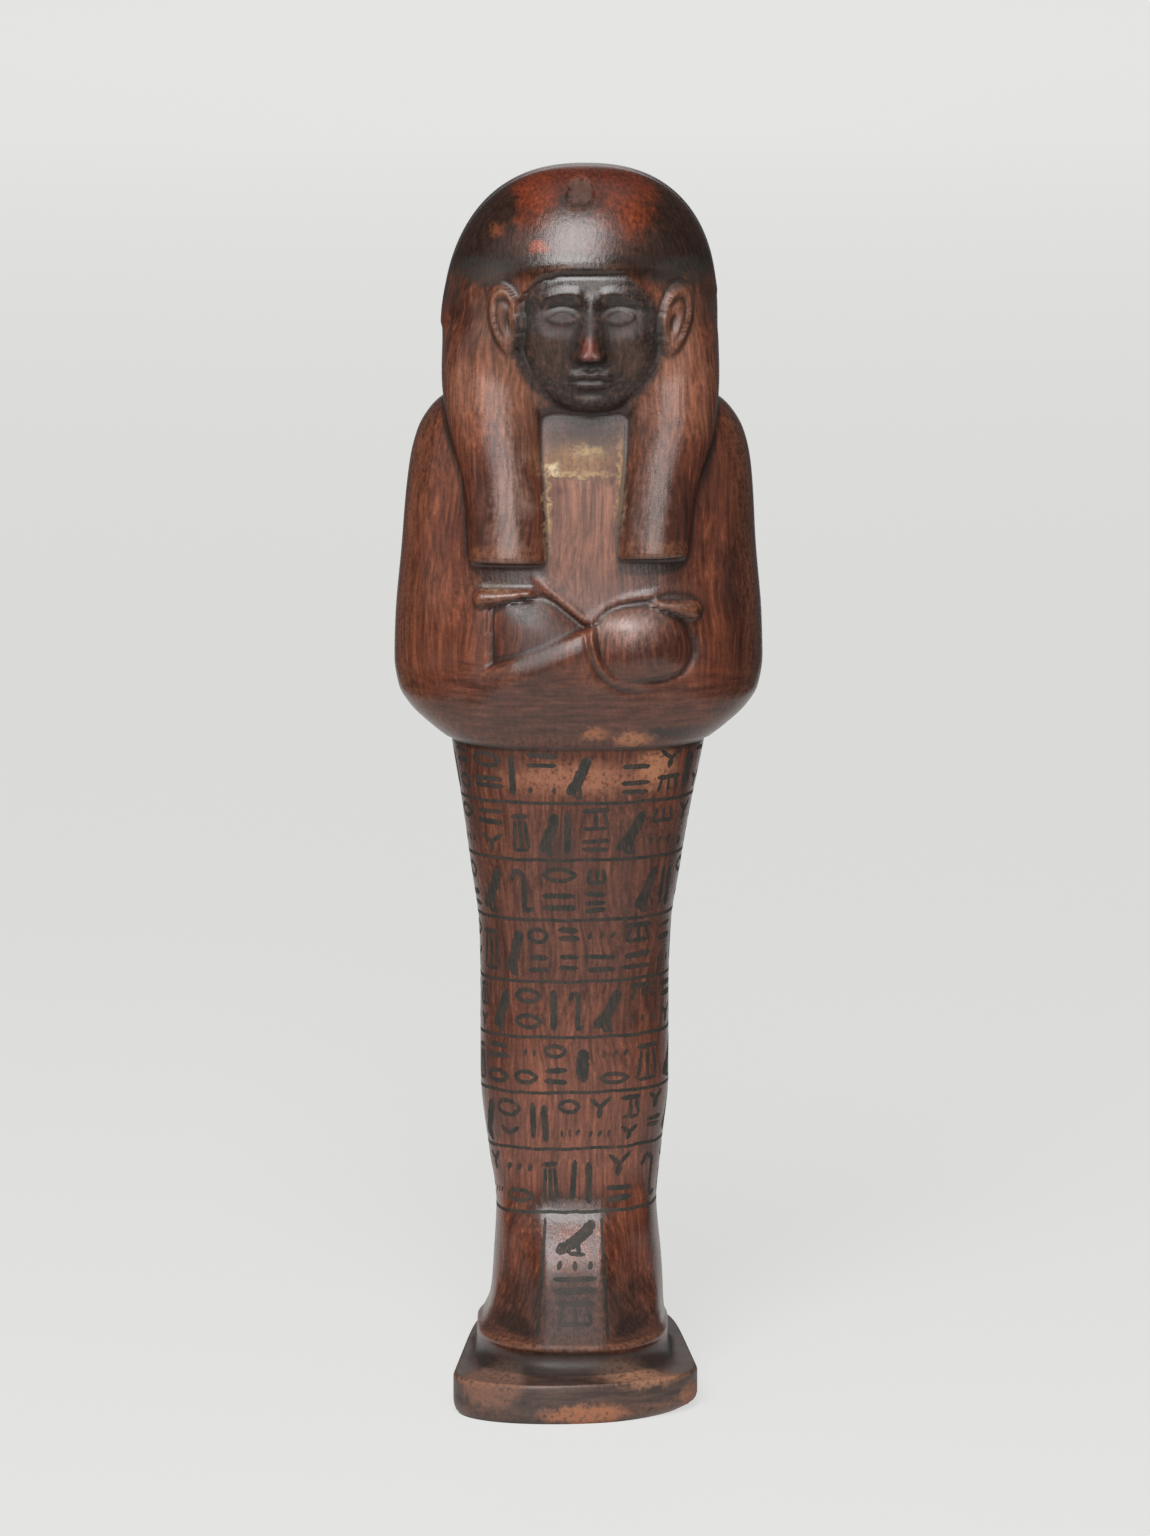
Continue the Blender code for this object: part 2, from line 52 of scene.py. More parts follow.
# a node with its inputs, each of them a value or another node's socket
def addNode(tree, kind, inputs=None, **settings):
    made = tree.nodes.new(kind)
    for name, value in settings.items():
        setattr(made, name, value)
    for name, value in (inputs or {}).items():
        if isinstance(value, bpy.types.NodeSocket):
            tree.links.new(value, made.inputs[name])
        else:
            made.inputs[name].default_value = value
    return made


def newMaterial(name):
    material = bpy.data.materials.new(name)
    material.use_nodes = True
    return material, material.node_tree, material.node_tree.nodes["Principled BSDF"]


def toObject(bm, name, smooth):
    bmesh.ops.recalc_face_normals(bm, faces=bm.faces[:])
    mesh = bpy.data.meshes.new(name)
    bm.to_mesh(mesh)
    bm.free()
    if smooth:
        mesh.shade_smooth()
    made = bpy.data.objects.new(name, mesh)
    bpy.context.scene.collection.objects.link(made)
    return made


# studio

studio = {
    "aim": (-0.0006, 0.0018, 0.1173),
    "distance": 1.40,
    "tiltDegrees": 9.3,
    "lens": 176.2,
    "paperColour": (0.15, 0.15, 0.148, 1),
    "paperGlow": (0.615, 0.615, 0.605, 1),
    "paperFront": 0.3,
    "paperHalf": (0.2, 0.42),  # half its width in front and behind, narrow so that the wood's sides stay dark
    "paperRise": ((0.5, 1.0), (3.2, 1.2)),  # two places behind the figure, and how much it glows there
    "paperTurn": ((0.05, 0.35), (0.2, 0.3), (0.5, 0.2), (2.5, 0.05)),  # steps up and back at its far end
    "worldColour": (0.86, 0.87, 0.88, 1),
    "worldStrength": 0.12,
}


def softBox(name, place, aimHeight, size, power):
    light = bpy.data.lights.new(name, "AREA")
    light.shape = "RECTANGLE"
    light.size, light.size_y = size
    light.energy = power
    lamp = bpy.data.objects.new(name, light)
    lamp.location = place
    lamp.rotation_euler = (Vector((0, 0, aimHeight)) - Vector(place)).to_track_quat("-Z", "Y").to_euler()
    bpy.context.scene.collection.objects.link(lamp)


def setUpStudio():
    scene = bpy.context.scene
    camera = bpy.data.objects.new("camera", bpy.data.cameras.new("camera"))
    tilt = math.radians(studio["tiltDegrees"])
    aim = Vector(studio["aim"])
    back = Vector((0, -math.cos(tilt), math.sin(tilt)))
    camera.location = aim + back * studio["distance"]
    camera.rotation_euler = back.to_track_quat("Z", "Y").to_euler()
    camera.data.lens = studio["lens"]
    camera.data.sensor_fit = "VERTICAL"
    camera.data.sensor_height = 36
    camera.data.clip_start = 0.05
    scene.collection.objects.link(camera)
    scene.camera = camera

    world = bpy.data.worlds.new("studio")
    world.use_nodes = True
    sky = world.node_tree.nodes["Background"]
    sky.inputs["Color"].default_value = studio["worldColour"]
    sky.inputs["Strength"].default_value = studio["worldStrength"]
    scene.world = world

    softBox("keyLight", (-0.16, -1.1, 1.05), 0.13, (0.8, 0.95), 25)
    softBox("frontLight", (-0.03, -1.7, 0.36), 0.13, (0.45, 0.45), 4)
    softBox("leftLight", (-1.05, -0.6, 0.55), 0.12, (1.0, 1.2), 1.8)
    softBox("rightLight", (1.1, -0.6, 0.5), 0.12, (0.8, 1.0), 0.35)
    softBox("topLight", (0.0, -0.1, 1.3), 0.1, (1.0, 0.8), 1.5)
    scene.view_settings.view_transform = "Standard"


# pale paper that turns up softly into the backdrop
def layPaper():
    bm = bmesh.new()
    bmesh.ops.create_grid(bm, x_segments=1, y_segments=1, size=3)
    near, far = studio["paperHalf"]
    for vert in bm.verts:
        vert.co.x = math.copysign(far if vert.co.y > 0 else near, vert.co.x)
        vert.co.y = max(vert.co.y, -studio["paperFront"])
    rear = [edge for edge in bm.edges if all(vert.co.y > 0 for vert in edge.verts)]
    for height, run in studio["paperTurn"]:
        lifted = bmesh.ops.extrude_edge_only(bm, edges=rear)["geom"]
        verts = [item for item in lifted if isinstance(item, bmesh.types.BMVert)]
        bmesh.ops.translate(bm, verts=verts, vec=(0, run, height))
        rear = [item for item in lifted if isinstance(item, bmesh.types.BMEdge)]
    floor = toObject(bm, "floor", smooth=True)
    material, tree, paper = newMaterial("palePaper")
    where = addNode(tree, "ShaderNodeTexCoord").outputs["Object"]
    distance = addNode(tree, "ShaderNodeSeparateXYZ", {"Vector": where}).outputs["Y"]
    (near, low), (far, high) = studio["paperRise"]
    rise = {"Value": distance, "From Min": near, "From Max": far, "To Min": low, "To Max": high}
    glow = addNode(tree, "ShaderNodeMapRange", rise).outputs["Result"]
    tree.links.new(glow, paper.inputs["Emission Strength"])
    paper.inputs["Base Color"].default_value = studio["paperColour"]
    paper.inputs["Emission Color"].default_value = studio["paperGlow"]
    paper.inputs["Roughness"].default_value = 0.9
    paper.inputs["Specular IOR Level"].default_value = 0.2
    floor.data.materials.append(material)


setUpStudio()
layPaper()
print("studio ready")

# the carving, as a form that is below zero inside the wood: x across, f forward of the axis, z up

figure = {
    "columns": 285,
    "lowRows": 8,
    "ledgeRows": 22,
    "bodyRows": 274,
    "bodyTop": 214,  # where the level rows end and the rows of the dome begin
    "domeRows": 34,
    "cut": 0.38,  # how softly the edge of the wig round the face is rounded
    "hollowRounds": 12,  # smoothing that the hollows are measured against
    "seamDepth": 17.0,  # how far in front of the axis the inner edges of the tresses lie
    "seamHalf": 0.03,  # half the width of the strip of columns that follows each of them
    "plinthThick": 7.4,
    "plinthHalf": 22.7,
    "plinthFront": 33.5,
    "plinthBack": 29.8,
    "plinthEdge": 0.6,
    "axisBehindMiddle": 1.9,
    "faceCentre": 1.9,
    "eyeLine": 203.6,
    "browEdge": 211.6,
    "domeStart": 200.0,
    "leftLappetEnd": 158.2,
    "rightLappetEnd": 159.2,
    "wigHem": 152.0,
    "shroudHem": 124.2,
    "heel": 12.6,
}


# a smooth curve through a few stations, each a height and a size
class Profile:
    def __init__(self, *stations):
        z, value = np.array(stations, float).T
        steps = np.diff(value) / np.diff(z)
        slope = np.zeros(len(z))
        same = steps[:-1] * steps[1:] > 0
        slope[1:-1][same] = 2 * steps[:-1][same] * steps[1:][same] / (steps[:-1] + steps[1:])[same]
        slope[0], slope[-1] = steps[0], steps[-1]
        self.z = np.linspace(z[0], z[-1], 900)
        i = np.clip(np.searchsorted(z, self.z, side="right") - 1, 0, len(z) - 2)
        width = z[i + 1] - z[i]
        t = (self.z - z[i]) / width
        self.value = (
            (1 + 2 * t) * (1 - t) ** 2 * value[i]
            + t * (1 - t) ** 2 * width * slope[i]
            + t * t * (3 - 2 * t) * value[i + 1]
            + t * t * (t - 1) * width * slope[i + 1]
        )

    def __call__(self, z):
        return np.interp(z, self.z, self.value)


stations = {
    "legHalf": (
        (0, 15.4), (20, 15.3), (34, 14.9), (46, 16.2), (60, 17.6), (78, 17.6), (88, 17.9), (98, 19.3),
        (110, 21.1), (121, 23.1), (132, 25),
    ),
    "legFront": (
        (0, 12.4), (20, 11.9), (34, 11.6), (62, 12.9), (78, 13.3), (98, 14.9), (121, 17.2), (132, 18),
    ),
    "legBack": (
        (0, 12.6), (20, 12.1), (34, 11.7), (62, 12.2), (78, 12.7), (88, 13.6), (104, 16.6), (114, 17.5),
        (121, 17), (132, 16.6),
    ),
    "torsoHalf": (
        (121, 21.6), (124, 24.6), (126.4, 27.6), (129.9, 31.3), (133.4, 33.4), (138.7, 34.2), (146, 34),
        (160, 32.8), (170, 32.1), (176, 31.4), (181, 30.1), (185, 27.7), (187.5, 24.8), (190, 19),
        (192, 10),
    ),
    "torsoFront": (
        (121, 16.8), (124.3, 18), (129, 19.5), (138, 20.6), (146, 20.1), (156, 18.6), (168, 17.6),
        (174, 16.9), (180, 15.9), (187, 14.7), (192, 13.2),
    ),
    "torsoBack": ((120.5, 16.8), (126, 18.2), (138, 19), (170, 18.9), (180, 17.4), (187, 13.8), (192, 8)),
    "wigHalf": ((148, 25), (165, 24.6), (178, 24.2), (186, 24.9), (193, 25.3), (200, 25.4), (210, 25.4)),
    "wigFront": ((148, 9), (176, 10.5), (183, 13), (188, 16.4), (194, 18.8), (200, 20.4), (210, 21.6)),
    "wigBack": ((148, 20.6), (158, 21.4), (172, 22.6), (186, 24.2), (197, 24.6), (210, 24.6)),
    "footFront": (
        (0, 25.6), (9, 25.8), (11.8, 26.9), (12.7, 28), (13.1, 28), (13.9, 27.2), (18, 24.3), (24, 20.1),
        (30, 15.9), (37, 11.2), (44, 9),
    ),
    "footHalf": (
        (0, 17.9), (12.6, 17.9), (13.7, 17.1), (15.1, 16.6), (16.6, 16.2), (19.5, 15.8), (26.7, 15.1),
        (37, 13.6), (44, 12),
    ),
    "footMiddle": (
        (0, -1.1), (12, -1.1), (13.7, -0.95), (15.1, -0.7), (16.6, -0.5), (19.5, -0.3), (30, -0.1),
        (44, 0),
    ),
    "valley": (
        (0, 0), (12.8, 0), (13.3, 0.9), (14.6, 3.8), (16.5, 5.3), (21, 5.9), (27, 4.6), (36, 0.8), (44, 0),
    ),
    "lean": (
        (0, 0), (20, 0), (34, -0.3), (50, -0.65), (70, -0.7), (100, -0.5), (128, 0), (160, 0.1),
        (181, 0.4), (200, 0.3), (220, 1), (230, 1.3),
    ),
    "leftCentre": ((150, -12.9), (160, -13), (172, -13.9), (182, -15.4), (190, -16), (204, -16)),
    "leftHalf": ((150, 7.4), (172, 7.5), (182, 8.6), (190, 9.2), (204, 7)),
    "rightCentre": ((150, 13.4), (160, 13.6), (172, 14.7), (182, 16.5), (190, 17), (204, 17)),
    "rightHalf": ((150, 6.5), (172, 7), (182, 8.1), (190, 8.4), (204, 7)),
    "tressDepth": ((150, 14.9), (158, 14.7), (165, 14), (172, 13.2), (182, 11.7), (192, 10.5), (204, 9)),
    "leftSeam": (
        (120, -7.5), (150, -5.6), (172, -6.5), (182, -6.9), (189, -6.6), (193, -8.6), (197, -10.4),
        (203, -11.2), (208, -11), (222, -10),
    ),
    "rightSeam": (
        (120, 9.5), (150, 6.9), (172, 7.8), (182, 8.5), (189, 9.2), (193, 12.2), (197, 14.2), (203, 15),
        (208, 14.8), (222, 12),
    ),
}
outline = {name: Profile(*rows) for name, rows in stations.items()}


def softStep(low, high, value):
    t = np.clip((value - low) / (high - low), 0, 1)
    return t * t * (3 - 2 * t)


def bump(value, centre, reach):
    return np.exp(-(((value - centre) / reach) ** 2))


# both forms together, with a fillet where they meet
def join(a, b, soft):
    h = np.clip(0.5 + 0.5 * (b - a) / soft, 0, 1)
    return b + (a - b) * h - soft * h * (1 - h)


# what two forms share, with a rounded arris
def keep(a, b, soft):
    return -join(-a, -b, soft)


# a rounded distance from the middle: 2 makes an ellipse, and more makes it squarer
def rounded(a, b, square):
    return (np.abs(a) ** square + np.abs(b) ** square) ** (1 / square)


def blend(a, b, share):
    return a * (1 - share) + b * share


def oval(x, f, half, front, back, square):
    depth = np.where(f > 0, front, back)
    return (rounded(x / half, f / depth, square) - 1) * np.minimum(half, (front + back) / 2)


def legsAndFeet(x, f, z):
    legs = oval(x, f, outline["legHalf"](z), outline["legFront"](z), outline["legBack"](z), 2.3)
    # a flat panel runs down the middle of the insteps, with a valley on each side that flares to the toes
    side = np.abs(x + 0.8)
    valley = softStep(5.0, 11.5, side) * (1 - 0.35 * softStep(13, 18, side))
    bow = 0.022 * side**2 * softStep(34, 18, z)
    reach = np.maximum(outline["footFront"](z) - outline["valley"](z) * valley - bow, 4)
    feet = oval(x - outline["footMiddle"](z), f, outline["footHalf"](z), reach, figure["heel"] - 0.6, 4.0)
    return np.maximum(join(legs, feet, 1.6), z - 140)


def torso(x, f, z):
    square = 2.4 + 0.4 * softStep(140, 155, z)
    body = oval(x, f, outline["torsoHalf"](z), outline["torsoFront"](z), outline["torsoBack"](z), square)
    return np.maximum(keep(body, figure["shroudHem"] - z, 0.4), z - 191)


def tress(x, f, z, side):
    across = x - outline[side + "Centre"](z)
    front = oval(across, f - outline["tressDepth"](z), outline[side + "Half"](z), 7.4, 7.4, 2.5)
    return keep(keep(front, figure[side + "LappetEnd"] - z, 0.9), z - 201, 4.0)


def wig(x, f, z):
    depth = np.where(f > 0, outline["wigFront"](z), outline["wigBack"](z))
    square = 2.1 + 0.5 * softStep(214, 198, z) * (f > 0)
    plan = rounded(x / outline["wigHalf"](z), f / depth, square)
    rise = np.clip((z - figure["domeStart"]) / (230 - figure["domeStart"]), 0, None)
    shell = (rounded(plan, rise, 2.4) - 1) * 22
    shell = keep(shell, figure["wigHem"] - z, 0.6)
    # the cap swells a little over the hair below it
    edge = figure["browEdge"] - 2e-5 * (x - figure["faceCentre"]) ** 4
    shell = shell - 0.75 * softStep(-1.6, 1.8, z - edge) * softStep(2, 8, f)
    # a flake is lost from the crown
    flake = np.hypot((x + 0.8) / 2.5, (z - 225.6) / 2.2) + 0.12 * np.sin(2.6 * x) * np.cos(1.9 * z)
    shell = shell + 0.4 * softStep(1.08, 0.86, flake) * (f > 0)
    return join(shell, np.minimum(tress(x, f, z, "left"), tress(x, f, z, "right")), 3.0)


# below zero inside the oval of the face, seen from the front
def faceOval(across, z):
    up = z - 201.6
    tall = np.where(up > 0, 10.2, 15.1)
    square = np.where(up > 0, 3.4, 1.95)
    return (rounded(across / 13.1, up / tall, square) - 1) * 12


# how far the face reaches in front of the axis
def faceReach(across, z):
    side = np.abs(across)
    share = np.clip(side / 14.1, 0, 1)
    up = z - figure["eyeLine"]
    reach = 16.6 + 4.3 * (1 - share**2.4) ** 0.5 - 0.010 * (up - 1) ** 2
    brow = softStep(0.8, 2.6, side) * softStep(10.5, 8, side)
    reach += 0.55 * bump(up, 4.4 - 0.05 * (side - 4) ** 2, 0.9) * brow
    reach -= 1.9 * bump(up, 0.5, 2.3) * bump(side, 5.0, 3.1)  # eye socket
    reach += 1.5 * bump(up, 0, 1.4) * bump(side, 5.1, 2.5)  # eyeball
    # lids: two thin ridges that meet at the corners of the eye
    span = np.clip(1 - ((side - 5.1) / 2.9) ** 2, 0, 1)
    reach += 0.45 * bump(up, 0.1 + 1.25 * span, 0.30) * softStep(0, 0.12, span)
    reach += 0.32 * bump(up, 0.0 - 0.95 * span, 0.28) * softStep(0, 0.12, span)
    bridge = 0.5 + 3.0 * softStep(-3.0, 7.4, -up)
    width = 1.7 + 0.08 * np.clip(2 - up, 0, 9)
    nose = bridge * np.exp(-np.abs(side / width) ** 2.6) * softStep(-8.6, -7.4, up)
    reach += nose * (1 - softStep(2.2, 5.5, up))
    reach += 1.3 * bump(side, 2.0, 1.0) * bump(up, -7.1, 1.0)  # wings of the nose
    reach -= 0.6 * bump(side, 1.2, 0.55) * bump(up, -8.5, 0.4)  # nostrils
    reach += 0.7 * bump(up, -11.2, 2.8) * bump(side, 0, 5.0)  # muzzle
    reach -= 0.22 * bump(side, 0, 0.5) * bump(up, -9.5, 0.7)
    mouth = softStep(4.9, 2.8, side)
    reach += 0.75 * bump(up, -10.7 + 0.3 * bump(side, 1.2, 0.8), 0.6) * mouth  # upper lip
    reach += 0.85 * bump(up, -12.45, 0.72) * softStep(4.4, 1.6, side)  # lower lip
    reach -= 0.5 * bump(up, -11.5 - 0.15 * bump(side, 0, 1), 0.26) * mouth  # between the lips
    reach -= 0.3 * bump(up, -11.3, 0.7) * bump(side, 4.4, 0.7)
    reach -= 0.5 * bump(up, -14.0, 0.8) * bump(side, 0, 3.4)
    reach += 1.1 * bump(up, -16.0, 1.9) * bump(side, 0, 3.6)  # chin
    reach += 0.6 * bump(up, -4.0, 3.0) * bump(side, 8.0, 2.8)  # cheekbone
    return reach


ears = {
    "fromMiddle": 15.7,
    "height": 203.0,
    "half": 2.7,
    "tall": 6.3,
    "standOff": 1.2,
}


def ear(x, f, z, outward):
    across = (x - figure["faceCentre"]) * outward - ears["fromMiddle"] - 0.14 * (z - ears["height"])
    up = (z - ears["height"]) / ears["tall"]
    half = ears["half"] * (1 + 0.18 * up)
    ring = np.sqrt((across / half) ** 2 + up**2)
    height = ears["standOff"] * (1 - softStep(0.84, 1.12, ring))
    upper = softStep(-0.75, -0.35, up)
    height += 0.3 * bump(ring, 0.84, 0.14) * upper * softStep(-0.5, 0.2, across / half + up)  # rim
    height -= 0.45 * bump(ring, 0.60, 0.13) * upper * softStep(-0.6, 0.1, across / half + up)  # groove
    height -= 0.85 * bump(across, -0.55, 0.8) * bump(up, -0.08, 0.33)  # hollow
    height += 0.25 * bump(across, -2.3, 0.6) * bump(up, -0.12, 0.16)
    return height * (f > 3)


def head(x, f, z):
    hair = wig(x, f, z)
    across = x - figure["faceCentre"]
    # the wig is cut away inside the oval of the face, and the face is the floor of that cut
    border = faceOval(across, z)
    hair = keep(hair, -np.maximum(border, 8 - f), figure["cut"])
    face = keep(f - faceReach(across, z), border - 0.7, 2.6)
    return join(np.maximum(face, -f), hair, 0.6)


# distance of a point on the front to the left of the line from start to end
def pastLine(x, z, start, end):
    dx, dz = end[0] - start[0], end[1] - start[1]
    return ((z - start[1]) * dx - (x - start[0]) * dz) / math.hypot(dx, dz)


# the end of a folded cloth in a fist: thick where it comes out, then tapering
def clothEnd(x, z, thick, thin, radius):
    dx, dz = thin[0] - thick[0], thin[1] - thick[1]
    t = np.clip(((x - thick[0]) * dx + (z - thick[1]) * dz) / (dx * dx + dz * dz), 0, 1)
    gap = np.hypot(x - thick[0] - t * dx, z - thick[1] - t * dz)
    return 1.5 * (1 - (np.clip(gap / (radius * (1 - 0.7 * t)), 0, 1)) ** 3)


# how far the crossed arms stand off the shroud, seen from the front
def armRelief(x, z):
    # the edge of the shroud: a thin band that runs down to the crossing and up again over the other fist
    leftEdge = pastLine(x, z, (0.9, 147.2), (-6.4, 153.1))
    rightEdge = pastLine(x, z, (9.0, 150.6), (1.2, 147.0))
    rightEdge = np.minimum(rightEdge, pastLine(x, z, (17.0, 152.3), (9.0, 150.6)))
    edge = np.maximum(leftEdge, rightEdge)
    band = 0.45 * softStep(0.5, -0.4, edge) * softStep(-2.2, -1.0, edge) - 0.6 * bump(edge, 0.7, 0.6)
    relief = band * softStep(-9.5, -5.5, x) * softStep(17, 13, x)
    # the fist that lies under the other arm, in an opening cut a little below the shroud
    fist = keep(keep(-16.3 - x, z - 152.4, 3.0), -leftEdge, 1.5)
    swell = 1 - np.clip(1 + fist / 7.0, 0, 1) ** 2
    relief = blend(relief, 2.5 * swell - 1.2, softStep(0.6, -0.6, fist))
    # the forearm over it: a crisp upper edge, and below it the arm fades into the belly
    cuff = pastLine(x, z, (2.8, 146.8), (8.3, 136.8))
    over = pastLine(x, z, (-14.6, 139.8), (2.8, 147.0))
    forearm = (1.3 * softStep(-17, -4, over) + 1.1 * bump(over, -3.0, 3.2)) * softStep(-21.5, -12, x)
    forearm = forearm * softStep(5, -0.5, cuff)
    relief = blend(forearm, relief, softStep(-0.5, 0.5, over))
    # the fist in front: it grows out of its forearm behind a thin cuff, and is cut free on its other sides
    turnX, turnZ = (x - 12.1) + 0.25 * (z - 143.9), (z - 143.9) - 0.10 * (x - 12.1)
    fist = (rounded(turnX / 8.8, turnZ / 7.6, 2.6) - 1) * 7.6
    joined = softStep(5.5, -0.5, cuff)
    edgeHeight = -0.9 + 1.6 * joined
    swell = (1 - np.clip(1 + fist / 6.5, 0, 1) ** 2.2) ** 0.85
    relief = relief + (0.45 * bump(fist, 0.7, 0.45) - 0.35 * bump(fist, 1.6, 0.5)) * joined * (over < 1)
    relief = blend(relief, edgeHeight + (2.4 - edgeHeight) * swell, softStep(0.6, -0.6, fist))
    for start, end, half in (((-17.9, 151.9), (-8.7, 152.9), 1.7), ((20.9, 149.7), (13.9, 151.0), 1.9)):
        cloth = clothEnd(x, z, start, end, half)
        relief = relief + (np.maximum(relief, cloth) - relief) * softStep(0, 0.4, cloth)
    return relief


def arms(x, f, z, body):
    return body - armRelief(x, z) * softStep(6, 10, f) * softStep(127, 131, z) * softStep(158, 155, z)


def plinth(x, f, z):
    # widest near its bowed front, which is turned a little, and tapering to a squarer back
    widest = 20.0
    front, back = figure["plinthFront"], figure["plinthBack"]
    forward = f + 0.11 * (x + 4) * softStep(-20, 25, f)
    aside = x + 0.5
    taper = figure["plinthHalf"] * (1 - 0.19 * np.clip((widest - forward) / (widest + back), 0, 1))
    reach = np.where(forward > widest, front - widest, back + widest)
    square = np.where(forward > widest, 2.1, 8.0)
    along = np.abs(forward - widest) / reach
    plan = (rounded(aside / taper, along, square) - 1) * np.minimum(taper, reach)
    # the lower arris is worn away, most at one front corner
    worn = 0.5 + 1.3 * softStep(4, 18, x) * softStep(5, 20, f)
    plan = plan + worn * np.clip(1 - z / 2.4, 0, 1) ** 2
    return keep(plan, z - figure["plinthThick"], figure["plinthEdge"])


def carving(x, f, z):
    plain = x - outline["lean"](z)
    body = join(legsAndFeet(plain, f, z), arms(plain, f, z, torso(plain, f, z)), 0.4)
    crown = head(plain, f, z) - ear(plain, f, z, -1) - ear(plain, f, z, 1)
    body = join(body, crown, 0.5)
    # the front of the toes sweeps down to the plinth in a hollow
    return join(body, plinth(x, f, z), 1.6 + 4.6 * softStep(4, 27, f))


# come in along each ray from outside and find how far along it the wood begins
def meet(start, way, reach, stride=1.0):
    start = [np.broadcast_to(np.asarray(value, float), way[0].shape) for value in start]
    inside = np.zeros(len(way[0]))
    outside = np.full(len(way[0]), reach)
    left = np.arange(len(way[0]))
    for t in np.arange(reach, -stride, -stride):
        at = [s[left] + t * w[left] for s, w in zip(start, way)]
        hit = carving(*at) < 0
        inside[left[hit]] = t
        outside[left[hit]] = t + stride
        left = left[~hit]
        if len(left) == 0:
            break
    for _ in range(11):
        middle = (inside + outside) / 2
        hit = carving(*[s + middle * w for s, w in zip(start, way)]) < 0
        inside = np.where(hit, middle, inside)
        outside = np.where(hit, outside, middle)
    return (inside + outside) / 2


# shares out 0 to 1 between low and high, closer together where the density is greater
def spread(density, low, high):
    at = np.linspace(low, high, 4000)
    total = np.concatenate([[0], np.cumsum((density(at[1:]) + density(at[:-1])) / 2)])
    return lambda share: np.interp(share, total / total[-1], at)


# more columns at the front and towards the corners of the plinth
def crowdingRound(turn):
    side = np.abs(turn)
    return 1 + 1.9 * softStep(1.5, 0.8, side) + 1.0 * bump(side, 2.62, 0.12) + 0.8 * bump(side, 0.78, 0.2)


# more rows at the face, the fists, the toes and the ledge under the elbows
def crowdingUp(z):
    crowding = 1 + 1.5 * bump(z, 200, 12) + 0.9 * bump(z, 146, 10)
    return crowding + 0.8 * bump(z, 13, 5) + 1.2 * bump(z, 123.4, 1.5)


# direction of a column, drawn aside so that the same columns follow the inner edge of each tress
def turnRound(column, z):
    even = spread(crowdingRound, -math.pi, math.pi)
    rest, place = [-math.pi], [-math.pi]
    half = figure["seamHalf"]
    for side in ("leftSeam", "rightSeam"):
        usual = math.atan2(float(outline[side](0)), figure["seamDepth"])
        middle = np.arctan2(outline[side](z), figure["seamDepth"])
        rest += [usual - half, usual + half]
        place += [middle - half, middle + half]
    rest.append(math.pi)
    place.append(math.pi)
    turn = even(column)
    moved = np.zeros_like(turn)
    for i in range(len(rest) - 1):
        share = (turn - rest[i]) / (rest[i + 1] - rest[i])
        here = (share > -1e-9) & (share < 1 + 1e-9)
        moved = np.where(here, place[i] + (place[i + 1] - place[i]) * share, moved)
    return moved


# places grid points, given as shares round and up the figure, on the carved surface
def pointsOnCarving(column, row):
    low, ledge, body, top = (figure[name] for name in ("lowRows", "ledgeRows", "bodyRows", "domeRows"))
    thick, edge = figure["plinthThick"], figure["plinthEdge"]
    step = row * (low + ledge + body + top)
    onSide = step < low + 0.5
    onLedge = (step > low + 0.5) & (step < low + ledge - 0.5)
    levels = spread(crowdingUp, thick + 1.0, figure["bodyTop"])
    bodyLevel = levels(np.clip((step - low - ledge) / body, 0, 1))
    rise = np.clip((step - low - ledge - body) / top, 0, 1) * math.pi / 2
    level = np.where(onSide, np.clip(step / low, 0, 1) * (thick - edge), bodyLevel)
    turn = turnRound(column, level)
    across, forward = np.sin(turn), np.cos(turn)
    way = (across * np.cos(rise), forward * np.cos(rise), np.sin(rise))
    distance = np.zeros_like(level)
    for chosen, reach in ((onSide, 42.0), (~onSide & ~onLedge, 38.0)):
        ray = tuple(w[chosen] for w in way)
        distance[chosen] = meet((0, 0, level[chosen]), ray, reach)
    x, f, z = distance * way[0], distance * way[1], level + distance * way[2]
    # the top of the plinth is found straight down, between its edge and the foot of the figure
    some = np.where(onLedge)[0]
    ray = (across[some], forward[some], np.zeros(len(some)))
    outer = meet((0, 0, thick - edge), ray, 42.0) - 0.05
    inner = meet((0, 0, thick + 1.0), ray, 42.0)
    share = (step[some] - low) / ledge
    radius = outer + (inner - outer) * (0.35 * share + 0.65 * share**1.6)
    px, pf = radius * ray[0], radius * ray[1]
    up = meet((px, pf, 1.0), (0 * px, 0 * px, 0 * px + 1), 12.0)
    x[some], f[some], z[some] = px, pf, 1.0 + up
    return x, f, z


def toMetres(x, f, z):
    return x * part, (figure["axisBehindMiddle"] - f) * part, z * part


# how deep each point lies under the smoothed surface, in millimetres: above zero in grooves, below on arrises
def hollows(places, flat, rows):
    column = np.rint(flat[:, 0] * figure["columns"]).astype(int)
    row = np.rint(flat[:, 1] * rows).astype(int)
    surface = np.zeros((rows + 1, figure["columns"] + 1, 3))
    surface[row, column] = places
    ring = surface[:, :-1]
    across = np.roll(ring, -1, axis=1) - np.roll(ring, 1, axis=1)
    outward = np.cross(across, np.gradient(ring, axis=0))
    outward /= np.maximum(np.linalg.norm(outward, axis=2, keepdims=True), 1e-12)
    smooth = ring.copy()
    for _ in range(figure["hollowRounds"]):
        upDown = np.concatenate([smooth[:1], smooth[:-1]]) + np.concatenate([smooth[1:], smooth[-1:]])
        smooth = (smooth + upDown + np.roll(smooth, 1, axis=1) + np.roll(smooth, -1, axis=1)) / 5
    depth = ((smooth - ring) * outward).sum(axis=2) * 1000
    return depth[row, column % figure["columns"]]


